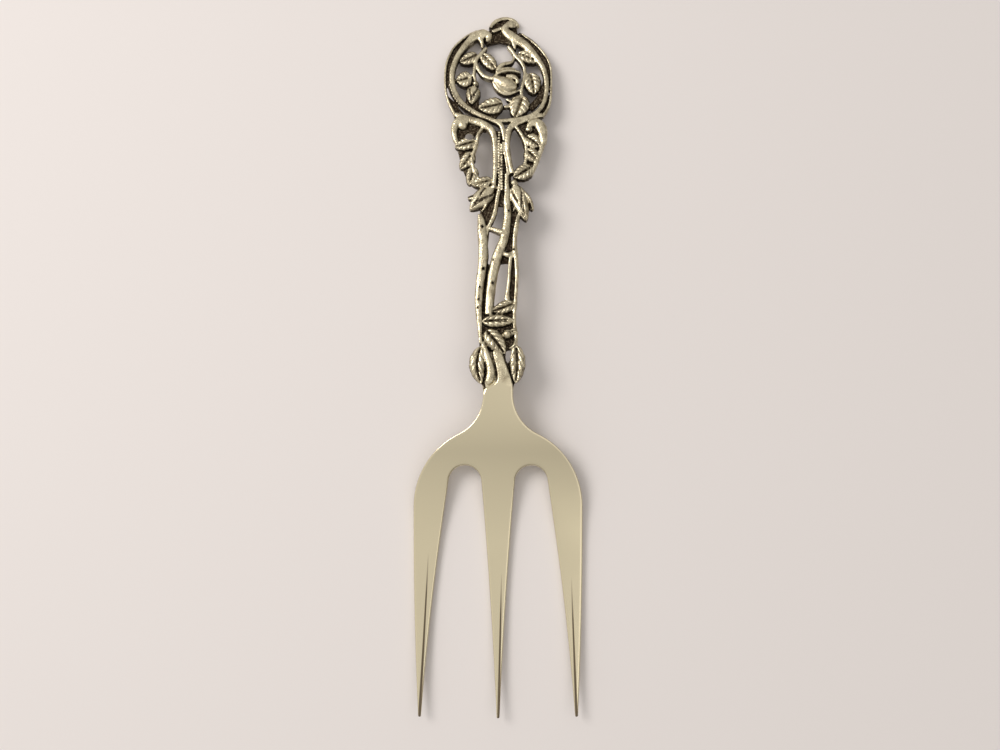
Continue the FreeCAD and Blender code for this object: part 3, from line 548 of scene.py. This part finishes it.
# Sunk ground: outlines of the webs between the forms
grounds = [
    [(-3.3, 94.6), (.6, 95.6), (4.6, 94.4), (6, 98.2), (5.6, 102), (2, 103), (-1.4, 101.6), (-3.6, 98.4)],
    [(-9.3, 79.4), (-10, 74.8), (-8.4, 71.6), (-5.8, 72.8), (-5.8, 78.8)],
    [(1.5, 74), (-5.4, 73), (-7.2, 70.6), (-1, 69), (-.4, 70.6)],
    [(-4.8, 69), (-3.8, 65.6), (-6, 66), (-8.2, 62.6), (-7, 58), (-8.6, 52), (-6.8, 49), (-2, 48),
     (-1.4, 50.6), (-4.4, 50.2), (-7.4, 48), (-10, 52), (-11.4, 56.5), (-12.6, 62), (-13.2, 68),
     (-11.5, 70.8), (-8, 69.6)],
    [(4.8, 68.8), (5.6, 65.6), (6.9, 63.4), (7.8, 60), (7.8, 57), (6.6, 53), (4.6, 50), (9.6, 50.8),
     (11.2, 54.6), (13, 59.6), (14.2, 62), (14.2, 66), (12.8, 68.4), (11.6, 70.8), (8, 69.6)],
    [(-1.2, 66), (3, 66), (2.8, 60), (4, 52), (3, 42), (.4, 42), (-1, 47), (-1, 57)],
    [(-3, 45.4), (-.4, 44), (-1, 39), (-2.5, 36), (-4.8, 35.4), (-5.4, 40)],
    [(-3.9, 34.4), (-2.6, 34), (-3, 30), (-3.4, 22), (-4.4, 22), (-4.4, 32)],
    [(-4.6, 26), (-2.4, 24), (-2.8, 10), (-5.6, 10)],
    [(2.6, 38), (5.4, 38), (4.8, 28), (1.8, 28.4), (2.8, 33)],
    [(4.6, 46), (2.6, 46), (2.8, 38), (5.8, 38)],
    [(-.6, 25.4), (1.4, 28), (4.8, 28), (3, 24.6), (.8, 24.4)],
    [(3, 25.6), (5.4, 25.6), (5, 8), (2.4, 13.4)],
    [(-3.4, 12), (-2, 12.2), (-.6, 11.6), (2.6, 13.8), (5.2, 13), (5.2, 0), (5.6, -3), (5, -9),
     (4.2, -13.4), (-4.2, -13.4), (-5, -9), (-5.4, -2), (-5.4, 4), (-6, 10)],
    [(-15.8, 78), (-14.9, 74), (-13, 70.4), (-10, 71), (-13.6, 75.8)],
    [(15.8, 78), (14.9, 74), (13, 70.4), (10, 71), (13.8, 75.8)],
    [(-.6, 82.4), (.2, 85.9), (1.6, 86.9), (4.6, 86.3), (6.5, 84.4), (5.9, 82), (5.5, 79), (3, 77.6),
     (0, 79)],
]

# The shallow groove between strap and plate, and the opening beside the plate
neckFloor = [(-3.1, -1.6), (-.4, -2), (.1, -5), (.3, -8), (.1, -10.4), (-1, -11.9), (-3.4, -12.6),
    (-3.9, -10.4), (-3.3, -8), (-3.4, -4)]
neckGap = [(2.3, -1.5), (3.1, -1.2), (3.95, -1.3), (3.75, -2.8), (3.3, -4.5), (2.8, -5), (2.3, -4.4),
    (2.1, -3)]

# Heights of the sunk parts above the back, and the ring of ground under the two bands
sunk = {
    "ground": 1.1, "neck": 2.2, "neckInk": 0.5,
    "ringY": 84.6, "ringOuter": 15.9, "ringInner": 13.8, "ringSides": 60,
    "ringSpans": ((-50, 66), (108, 232)),
}

# Rows of beads: height above the back and the points that the row follows
beads = {
    "spacing": 0.9, "radius": 0.42,
    "rows": {
        "beadsRing": (2.3, [(-14.6, 80.4), (-13.3, 76.7), (-11.3, 73.9), (-8.6, 71.9)]),
        "beadsStemA": (2.0, [(.3, 65), (.35, 46.6)]), "beadsStemB": (2.0, [(1.1, 61), (1.2, 47)]),
    },
}

# Knots and small holes: x, y, radius, how far over the back they stop
pits = {
    "sides": 18, "narrow": 0.75, "wide": 1.25, "depth": 5.0,
    "places": [
        (-4.6, 35.4, .42, 1.5), (-4.3, 22.6, .5, 1.5), (3.1, 40.2, .3, 1.6), (4.6, 28.5, .32, 1.4),
        (-1.6, 18.3, .42, 1.6), (-5.4, 17.2, .3, 1.8), (-5.6, 13.6, .28, 1.7), (2.2, 29, .25, 1.4),
        (-5.9, 11, .25, 1.6), (-1.4, 25.2, .25, 2.0), (-8.7, 64.1, 1.35, -2)],
}

# How the forms are melted together and faced flush with the back
casting = {
    "voxel": 0.15, "quickVoxel": 0.24, "soften": 0.5, "softenRounds": 2,
    "blockHalf": 30, "blockRows": (-16, 112, 0.8), "cutHeight": 8,
    "plateFoot": -2, "plateGrid": 1.5, "plateInset": 0.5,
}


def slopeAt(y, step=0.1):
    return atan2(float(backHeight(y + step) - backHeight(y - step)), 2 * step)


def onBack(x, y, rise):  # a point at a height above the back
    return (x, y, float(backHeight(y)) + rise)


def loopEdges(count):
    return [(i, (i + 1) % count) for i in range(count)]


def fillPlan(points, count):  # triangles inside the outline that the first count points make
    inside, merging = 1, 1e-5
    points = [Vector(p) for p in points]
    flat, _, faces, _, _, _ = delaunay_2d_cdt(points, loopEdges(count), [], inside, merging)
    return flat, faces


def plateShell(faces, used, size):  # the top, the underside turned over and the wall round the rim
    rim = [(a, b) for a, b in used if (b, a) not in used]
    low = [tuple(size + i for i in reversed(face)) for face in faces]
    return [tuple(face) for face in faces] + low + [(b, a, size + a, size + b) for a, b in rim]


def webMesh(outline, height, name, ink=1.0):  # a plate over a plan outline, with its foot in the back
    corners = np.array(outline, dtype=float)
    low, high = corners.min(axis=0) + casting["plateInset"], corners.max(axis=0)
    xs, ys = [np.arange(low[i], high[i], casting["plateGrid"]) for i in (0, 1)]
    flat, faces = fillPlan(list(corners) + [(x, y) for x in xs for y in ys], len(corners))
    used = dict.fromkeys((a, b) for face in faces for a, b in zip(face, face[1:] + face[:1]))
    sides = [onBack(p.x, p.y, rise) for rise in (height, casting["plateFoot"]) for p in flat]
    return inked(newMesh(name, sides, plateShell(faces, used, len(flat))), ink)


def makeBranches():
    tree = makeBranchTree()
    made = []
    for index, (name, points) in enumerate(vines.items()):
        path = smoothPath([p[:2] for p in points], [p[2:] for p in points])
        line = newLine(name, [(x, y, float(backHeight(y)) + top - girth) for x, y, girth, top in path])
        store(line, "girth", path[:, 2])
        bark = branch["deepBark"] if name in branch["barked"] else branch["smoothBark"]
        values = {"Segments": branch["segments"], "Flank": branch["flank"], "Bark Depth": bark,
                  "Bark Size": branch["barkSize"], "Seed": float(index)}
        made.append(runTree(line, tree, values, name))
    return made


def makeForms():  # leaves, buds, petals and knobs, each kind set in its places by one tree
    tree = makePlaceTree()
    patterns = {
        "leaf": leafForm("leaf", 5, 0.03), "bud": budForm("bud"), "petal": petalForm("petal"),
        "earLeft": leafForm("earLeft", 4, -0.24, 0.5), "earRight": leafForm("earRight", 4, 0.10, 0.5),
        "knob": knobForm("knob"), "drop": dropForm("drop"),
    }
    marks = {name: [] for name in patterns}
    for form, base, tip, width, height in forms:
        angle = atan2(tip[1] - base[1], tip[0] - base[0])
        length = sqrt((tip[1] - base[1]) ** 2 + (tip[0] - base[0]) ** 2)
        middle = (base[1] + tip[1]) / 2
        lift = float(backHeight(middle)) + (base[1] - middle) * np.tan(slopeAt(middle))
        marks[form].append(((base[0], base[1], lift), angle, slopeAt(middle), (length, width, height)))
    for x, y, across, along, turn, height in knobs:
        marks["knob"].append((onBack(x, y, 0), radians(turn), slopeAt(y), (across, along, height)))
    made = []
    for name, places in marks.items():
        cloud = newMesh(name + "Places", [p[0] for p in places], [])
        turns = [Matrix.Rotation(p[2], 3, "X") @ Matrix.Rotation(p[1], 3, "Z") for p in places]
        store(cloud, "turn", [tuple(t.to_euler()) for t in turns], "FLOAT_VECTOR")
        store(cloud, "size", [p[3] for p in places], "FLOAT_VECTOR")
        made.append(runTree(cloud, tree, {"Form": patterns[name]}, name + "Set"))
    for pattern in patterns.values():
        bpy.data.objects.remove(pattern)
    return made


def ringArc(radius, low, high):
    angles = np.linspace(radians(low), radians(high), sunk["ringSides"])
    return [(radius * cos(a), sunk["ringY"] + radius * sin(a)) for a in angles]


def makeGrounds():  # the sunk webs, the groove beside the strap and the floor between the two bands
    made = [webMesh(outline, sunk["ground"], "ground%d" % index) for index, outline in enumerate(grounds)]
    made.append(webMesh(neckFloor, sunk["neck"], "neckFloor", sunk["neckInk"]))
    for low, high in sunk["ringSpans"]:
        outline = ringArc(sunk["ringOuter"], low, high) + ringArc(sunk["ringInner"], high, low)
        made.append(webMesh(outline, sunk["ground"], "ringGround"))
    return made


def makeBeads():
    tree = makeBeadTree()
    made = []
    for name, (rise, points) in beads["rows"].items():
        path = smoothPath(points, [()] * len(points))
        line = newLine(name, [onBack(x, y, rise) for x, y in path])
        made.append(runTree(line, tree, {"Spacing": beads["spacing"], "Radius": beads["radius"]}, name))
    return made


def blendHandle(parts):  # melts the forms together. The guide is the loose forms in their final place
    handle = joinMeshes(parts, "handle")
    remesh = handle.modifiers.new("blend", "REMESH")
    remesh.mode = "VOXEL"
    remesh.voxel_size = casting["voxel"]
    soften = handle.modifiers.new("soften", "SMOOTH")
    soften.factor = casting["soften"]
    soften.iterations = casting["softenRounds"]
    guide = addObject("guide", handle.data.copy())
    guide.data.transform(toPlace)
    return takeMesh(handle, "handle"), guide


def makeBelow():  # a block that fills everything under the back, to face the handle flush with it
    half = casting["blockHalf"]
    block = []
    for y in np.arange(*casting["blockRows"]):
        block += [onBack(-half, y, 0), onBack(half, y, 0), onBack(half, y, -half), onBack(-half, y, -half)]
    shell = [(3, 2, 1, 0), tuple(len(block) - 4 + i for i in range(4))]
    for i in range(0, len(block) - 4, 4):
        for a, b in loopEdges(4):
            shell.append((i + a, i + b, i + b + 4, i + a + 4))
    return newMesh("below", block, shell)


def makeHoles():
    holes = []
    depth = pits["depth"]
    for x, y, r, floor in pits["places"]:
        bpy.ops.mesh.primitive_cone_add(
            vertices=pits["sides"], radius1=pits["narrow"] * r, radius2=pits["wide"] * r,
            depth=depth, location=onBack(x, y, floor + depth / 2))
        holes.append(bpy.context.object)
        holes[-1].data.transform(holes[-1].matrix_world)
    return joinMeshes(holes, "holes")


def makeHandle():
    handle, guide = blendHandle(makeBranches() + makeForms() + makeGrounds() + makeBeads())
    print("handle blended", len(handle.data.polygons))
    for cutter in (makeBelow(), makeHoles(), webMesh(neckGap, casting["cutHeight"], "gap")):
        handle = combine(handle, cutter, "DIFFERENCE")
    print("handle cut", len(handle.data.polygons))
    return handle, guide


# Polished head
head = {
    "tongue": [
        (4.3, -12.8), (4.1, -11), (3.7, -9.4), (3.2, -7.9), (2.65, -6.5), (2.1, -4.9), (1.6, -3.4),
        (1.0, -2.2), (.2, -1.4), (-.8, -1.2), (-1.5, -1.8), (-1.45, -2.9), (-1.1, -4.2), (-.75, -5.6),
        (-.4, -7.2), (-.2, -8.6), (-.3, -10), (-.9, -11), (-2, -11.7), (-3.2, -12.2), (-4.3, -12.8)],
    "neckHalf": 4.3, "shoulderTop": -14.0, "shoulderEnd": -46.0, "hollow": 12.4, "half": 24.5,
    "slotX": 9.6, "slotY": -38.9, "slot": 4.75, "outerLean": 9.0, "middleLean": 5.0,
    "tipX": 22.1, "tipLift": 0.4, "tipHalf": 0.42, "rounding": 0.42, "roundingShare": 0.42, "inset": 0.01,
    "ringDepths": (0.04, 0.12, 0.25, 0.44, 0.8, 1.3), "ringKept": 0.93,
    "gridX": (-24.6, 24.7), "gridY": (-105, -11), "gridStep": 1.2, "gridMargin": 1.8,
}


def arcPoints(start, direction, end, step=0.6):  # the arc that leaves start along direction and stops at end
    start, end, direction = np.array(start, float), np.array(end, float), np.array(direction, float)
    normal = np.array([-direction[1], direction[0]])
    chord = end - start
    radius = chord @ chord / (2 * chord @ normal)
    centre = start + normal * radius
    a = atan2(*(start - centre)[::-1])
    b = atan2(*(end - centre)[::-1])
    turn = (b - a + pi) % (2 * pi) - pi
    count = max(3, int(abs(turn * radius) / step))
    angles = a + turn * np.linspace(0, 1, count + 1)
    return [tuple(centre + abs(radius) * np.array([cos(t), sin(t)])) for t in angles]


def headOutline():  # right half of the plan from the middle tip to the neck, then mirrored
    h = head
    middle, outer = radians(h["middleLean"]), radians(h["outerLean"])
    left = (h["slotX"] - h["slot"] * cos(middle), h["slotY"] + h["slot"] * sin(middle))
    right = (h["slotX"] + h["slot"] * cos(outer), h["slotY"] + h["slot"] * sin(outer))
    slotTop = (h["slotX"], h["slotY"] + h["slot"])
    middleTip = (h["tipHalf"], profile["tipY"] + h["tipHalf"])
    tipY = profile["tipY"] + h["tipLift"]
    inside = (h["tipX"] - h["tipHalf"], tipY + h["tipHalf"])
    outside = (h["tipX"] + h["tipHalf"], tipY + h["tipHalf"])
    across, along = h["half"] - h["neckHalf"], h["shoulderTop"] - h["shoulderEnd"]
    radii = (across ** 2 + along ** 2) / (2 * across)
    turn = asin(along / radii)
    meet = (h["neckHalf"] + h["hollow"] * (1 - cos(turn)), h["shoulderTop"] - h["hollow"] * sin(turn))
    line = arcPoints(left, (-sin(middle), -cos(middle)), middleTip)[::-1]
    line += arcPoints(left, (sin(middle), cos(middle)), slotTop)[1:]
    line += arcPoints(slotTop, (1, 0), right)[1:]
    line += arcPoints(right, (sin(outer), -cos(outer)), inside)[1:]
    for a in np.radians([-150, -120, -90, -60, -30]):
        line.append((h["tipX"] + h["tipHalf"] * cos(a), tipY + h["tipHalf"] * (1 + sin(a))))
    line += arcPoints((h["half"], h["shoulderEnd"]), (0, -1), outside)[::-1]
    line += arcPoints((h["half"], h["shoulderEnd"]), (0, 1), meet)[1:]
    line += arcPoints((h["neckHalf"], h["shoulderTop"]), (0, -1), meet)[::-1][1:]
    turns = np.radians([-60, -30, 0, 30, 60])
    tips = [(h["tipHalf"] * sin(a), profile["tipY"] + h["tipHalf"] * (1 - cos(a))) for a in turns]
    tongue = smoothPath(h["tongue"], [()] * len(h["tongue"]))[:, :2]
    return np.array(tips + line + [tuple(p) for p in tongue] + [(-x, y) for x, y in line[::-1]])


def distanceTo(points, outline, batch=500):  # shortest way from each point to the outline
    a, b = outline, np.roll(outline, -1, axis=0)
    edge = b - a
    best = np.zeros(len(points))
    for start in range(0, len(points), batch):
        p = points[start:start + batch]
        t = np.clip(((p[:, None] - a) * edge).sum(-1) / (edge ** 2).sum(-1), 0, 1)
        gap = np.linalg.norm(p[:, None] - a - t[..., None] * edge, axis=-1)
        best[start:start + batch] = gap.min(axis=1)
    return best


def makeHead():
    outline = headOutline()
    along = np.roll(outline, -1, axis=0) - np.roll(outline, 1, axis=0)
    inward = np.stack([-along[:, 1], along[:, 0]], axis=-1) / np.linalg.norm(along, axis=1)[:, None]
    rings = []
    for depth in head["ringDepths"]:
        ring = outline + inward * depth
        rings.append(ring[distanceTo(ring, outline) > head["ringKept"] * depth])
    columns, rows = [np.arange(*head[key], head["gridStep"]) for key in ("gridX", "gridY")]
    xs, ys = np.meshgrid(columns, rows)
    grid = np.stack([xs.ravel(), ys.ravel()], axis=-1)
    rings.append(grid[distanceTo(grid, outline) > head["gridMargin"]])
    flat, faces = fillPlan(np.vstack([outline] + rings), len(outline))
    used = set((a, b) for face in faces for a, b in zip(face, face[1:] + face[:1]))
    shell = plateShell(faces, used, len(flat))
    plan = np.array([tuple(p) for p in flat])
    full = thickness(plan[:, 1])
    softened = np.minimum(head["rounding"], head["roundingShare"] * full)
    inner = 1 - np.minimum(distanceTo(plan, outline) / softened, 1)
    drop = softened * (1 - np.sqrt(np.maximum(1 - inner ** 2, 0)))
    back = backHeight(plan[:, 1])
    top = np.column_stack([plan, back + full - drop - head["inset"]])
    low = np.column_stack([plan, back + drop + head["inset"]])
    print("head", len(shell))
    return newMesh("plate", np.vstack([top, low]), shell)


# Silver. A noise is scale, detail, roughness and lacunarity. A streak is x, y and lean of a dark line of
# reflection that runs to the tip of a tine
silver = {
    "bright": (0.74, 0.667, 0.475), "worn": (0.44, 0.38, 0.26),
    "patina": (0.028, 0.018, 0.011), "rubbed": (0.30, 0.25, 0.17), "streak": (0.09, 0.06, 0.035),
    "carved": (-0.0115, -0.0095), "ink": 0.24, "stain": 0.64, "dark": (0.30, 0.52),
    "stainNoise": (1900.0, 4.0, 0.75, 2.3), "stainStretch": (1.0, 0.6, 1.0),
    "wearNoise": (420.0, 4.0, 0.6), "wear": (0.42, 0.66), "rub": (0.5, 0.75),
    "smudgeNoise": (60.0, 4.0), "smudge": (0.35, 0.7), "polish": (0.14, 0.22), "carvedDull": 0.07,
    "darkRoughness": 0.6, "grainNoise": (2200.0, 3.0), "grainDepth": 0.00016, "inkDepth": -1.2, "relief": 0.7,
    "streaks": [(-0.0201, -0.0585, -0.044), (0.0010, -0.0642, -0.0215), (0.0211, -0.0656, 0.026)],
    "streakWidth": (0.00016, 0.00042), "streakEdge": (0.6, 1.2), "streakRun": 0.040, "streakFade": 0.012,
    "streakWeight": 0.9,
}


def makeStreakGroup():
    group = bpy.data.node_groups.new("tineStreak", "ShaderNodeTree")
    for label, kind in (("Place", "Vector"), ("Start X", "Float"), ("Start Y", "Float"), ("Lean", "Float")):
        group.interface.new_socket(label, in_out="INPUT", socket_type="NodeSocket" + kind)
    group.interface.new_socket("Mask", in_out="OUTPUT", socket_type="NodeSocketFloat")
    source, result = group.nodes.new("NodeGroupInput").outputs, group.nodes.new("NodeGroupOutput").inputs

    def math(operation, **sockets):
        return addNode(group, "ShaderNodeMath", {"operation": operation}, sockets).outputs[0]

    def ramp(value, start, end, low, high):
        sockets = {"i0": value, "i1": start, "i2": end, "i3": low, "i4": high}
        return addNode(group, "ShaderNodeMapRange", None, sockets).outputs[0]

    place = addNode(group, "ShaderNodeSeparateXYZ", None, {"i0": source["Place"]}).outputs
    fall = math("SUBTRACT", i0=source["Start Y"], i1=place["Y"])
    middle = math("MULTIPLY_ADD", i0=fall, i1=source["Lean"], i2=source["Start X"])
    away = math("ABSOLUTE", i0=math("SUBTRACT", i0=place["X"], i1=middle))
    width = ramp(fall, 0.0, silver["streakRun"], *silver["streakWidth"])
    across = ramp(math("DIVIDE", i0=away, i1=width), *silver["streakEdge"], 1.0, 0.0)
    along = ramp(fall, 0.0, silver["streakFade"], 0.0, 1.0)
    group.links.new(math("MULTIPLY", i0=across, i1=along), result["Mask"])
    return group


def makeSilver():
    material = bpy.data.materials.new("silver")
    material.use_nodes = True
    tree = material.node_tree
    shader = tree.nodes["Principled BSDF"]

    def node(kind, settings=None, **sockets):
        return addNode(tree, kind, settings, sockets)

    def math(operation, a, b, c=0.0):
        return node("ShaderNodeMath", {"operation": operation}, i0=a, i1=b, i2=c).outputs[0]

    def noise(vector, scale, detail, roughness=0.5, lacunarity=2.0):
        return node("ShaderNodeTexNoise", None, Vector=vector, Scale=scale, Detail=detail,
                    Roughness=roughness, Lacunarity=lacunarity).outputs[0]

    def ramp(value, start, end, low=0.0, high=1.0, kind="LINEAR"):
        return node("ShaderNodeMapRange", {"interpolation_type": kind}, Value=value,
                    From_Min=start, From_Max=end, To_Min=low, To_Max=high).outputs[0]

    def blend(share, under, over):  # a colour is a name in the dictionary or a socket
        under, over = [(*silver[c], 1) if isinstance(c, str) else c for c in (under, over)]
        return node("ShaderNodeMix", {"data_type": "RGBA"}, i0=share, i6=under, i7=over).outputs[2]

    place = node("ShaderNodeTexCoord").outputs["Object"]
    along = node("ShaderNodeSeparateXYZ", None, Vector=place).outputs["Y"]
    carved = ramp(along, *silver["carved"])
    hollow = node("ShaderNodeAttribute", {"attribute_name": "hollow"}).outputs["Fac"]
    ink = node("ShaderNodeAttribute", {"attribute_name": "ink"}).outputs["Fac"]
    drawn = node("ShaderNodeVectorMath", {"operation": "MULTIPLY"}, i0=place, i1=silver["stainStretch"])
    stain = math("MULTIPLY", noise(drawn.outputs[0], *silver["stainNoise"]), carved)
    edge = math("MULTIPLY_ADD", stain, silver["stain"], math("MULTIPLY_ADD", ink, silver["ink"], hollow))
    dark = ramp(edge, *silver["dark"], kind="SMOOTHSTEP")
    grain = noise(place, *silver["grainNoise"])
    wear = ramp(noise(place, *silver["wearNoise"]), *silver["wear"])
    metal = blend(math("MULTIPLY", wear, carved), "bright", "worn")
    sunkMetal = blend(ramp(grain, *silver["rub"]), "patina", "rubbed")
    streakGroup = makeStreakGroup()
    streaks = 0.0
    for x, y, lean in silver["streaks"]:
        streak = node("ShaderNodeGroup", {"node_tree": streakGroup}, Place=place,
                      Start_X=x, Start_Y=y, Lean=lean).outputs[0]
        streaks = math("MAXIMUM", streak, streaks)
    streaks = math("MULTIPLY", streaks, silver["streakWeight"])
    polish = ramp(noise(place, *silver["smudgeNoise"]), *silver["smudge"], *silver["polish"])
    dulled = math("MULTIPLY_ADD", carved, silver["carvedDull"], polish)
    rough = node("ShaderNodeMix", {"data_type": "FLOAT"}, i0=dark, i2=dulled, i3=silver["darkRoughness"])
    sunkHeight = math("MULTIPLY_ADD", ink, silver["inkDepth"], math("MULTIPLY", grain, carved))
    relief = node("ShaderNodeBump", None, Strength=silver["relief"], Distance=silver["grainDepth"],
                  Height=sunkHeight)
    tree.links.new(blend(streaks, blend(dark, metal, sunkMetal), "streak"), shader.inputs["Base Color"])
    tree.links.new(rough.outputs[0], shader.inputs["Roughness"])
    tree.links.new(relief.outputs[0], shader.inputs["Normal"])
    shader.inputs["Metallic"].default_value = 1.0
    return material


# The fork. Its carved part alone is lightened, so that the head keeps its even mesh and clean reflection
build = {"carvedFrom": -12, "triangles": 185000, "sharpAngle": 50}


def makeFork():
    handle, guide = makeHandle()
    fork = combine(handle, makeHead(), "UNION")
    corners = sum(polygon.loop_total - 2 for polygon in fork.data.polygons)
    print("fork united, triangles", corners)
    carved = fork.vertex_groups.new(name="carved")
    carved.add([v.index for v in fork.data.vertices if v.co.y > build["carvedFrom"]], 1.0, "REPLACE")
    lighten = fork.modifiers.new("lighten", "DECIMATE")
    lighten.vertex_group = "carved"
    lighten.ratio = min(1.0, build["triangles"] / corners)
    fork = takeMesh(fork, "fork")
    fork.data.transform(toPlace)
    fork = runTree(fork, makeInkTree(), {"Forms": guide}, "fork")
    bpy.data.objects.remove(guide)
    print("fork joined", len(fork.data.polygons))
    fork = runTree(fork, makeHollowTree(), {"Material": makeSilver()}, "fork")
    for polygon in fork.data.polygons:
        polygon.use_smooth = True
    fork.data.set_sharp_from_angle(angle=radians(build["sharpAngle"]))
    print("fork shaded")
    return fork


fork = makeFork()
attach(fork, "root")
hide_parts("serving_fork")

# Table, light and camera
view = {
    "lens": 35.0, "sensor": 36.0, "near": 0.01,
    "place": (0.00055, -0.04219, 0.28689), "target": (0.00055, -0.0077, 0.006),
}
studio = {
    "floor": 4.0, "cloth": (0.75, 0.715, 0.70), "clothRoughness": 0.9, "clothSpecular": 0.2,
    "skyColour": (1.0, 0.96, 0.92, 1), "skySide": (-0.55, 0.25, 0.8),
    "skyFrom": (-0.4, 1.0), "skyPower": (0.20, 0.80),
    "lamps": {
        "key": {"place": (-0.55, 0.25, 0.65), "size": 0.45, "power": 4.0, "colour": (1.0, 0.96, 0.93)},
        "fill": {"place": (0.5, -0.2, 0.9), "size": 0.8, "power": 0.8, "colour": (1.0, 0.96, 0.92)},
    },
}


def aim(thing, place, target):
    thing.location = place
    thing.rotation_euler = (Vector(target) - Vector(place)).to_track_quat("-Z", "Y").to_euler()


def makeFloor():
    bpy.ops.mesh.primitive_plane_add(size=studio["floor"], location=(0, 0, 0))
    floor = bpy.context.object
    floor.name = "floor"
    cloth = bpy.data.materials.new("cloth")
    cloth.use_nodes = True
    shader = cloth.node_tree.nodes["Principled BSDF"].inputs
    shader["Base Color"].default_value = (*studio["cloth"], 1)
    shader["Roughness"].default_value = studio["clothRoughness"]
    shader["Specular IOR Level"].default_value = studio["clothSpecular"]
    floor.data.materials.append(cloth)


def makeSky():  # soft light from all round, brighter on one side
    world = bpy.context.scene.world or bpy.data.worlds.new("world")
    bpy.context.scene.world = world
    world.use_nodes = True
    tree = world.node_tree
    way = addNode(tree, "ShaderNodeTexCoord", None, {}).outputs["Generated"]
    sockets = {"i0": way, "i1": studio["skySide"]}
    side = addNode(tree, "ShaderNodeVectorMath", {"operation": "DOT_PRODUCT"}, sockets).outputs["Value"]
    (start, end), (low, high) = studio["skyFrom"], studio["skyPower"]
    sockets = {"Value": side, "From Min": start, "From Max": end, "To Min": low, "To Max": high}
    power = addNode(tree, "ShaderNodeMapRange", {"interpolation_type": "SMOOTHSTEP"}, sockets).outputs[0]
    tree.links.new(power, tree.nodes["Background"].inputs["Strength"])
    tree.nodes["Background"].inputs["Color"].default_value = studio["skyColour"]


def makeLamps():
    for name, lamp in studio["lamps"].items():
        light = bpy.data.lights.new(name, "AREA")
        light.shape = "DISK"
        light.size = lamp["size"]
        light.energy = lamp["power"]
        light.color = lamp["colour"]
        aim(addObject(name, light), lamp["place"], (0, 0, 0))


def makeCamera():
    camera = bpy.data.cameras.new("camera")
    camera.lens = view["lens"]
    camera.sensor_width = view["sensor"]
    camera.clip_start = view["near"]
    eye = addObject("camera", camera)
    aim(eye, view["place"], view["target"])
    bpy.context.scene.camera = eye


makeFloor()
makeSky()
makeLamps()
makeCamera()
bpy.context.scene.view_settings.view_transform = "Standard"
print("stage set")
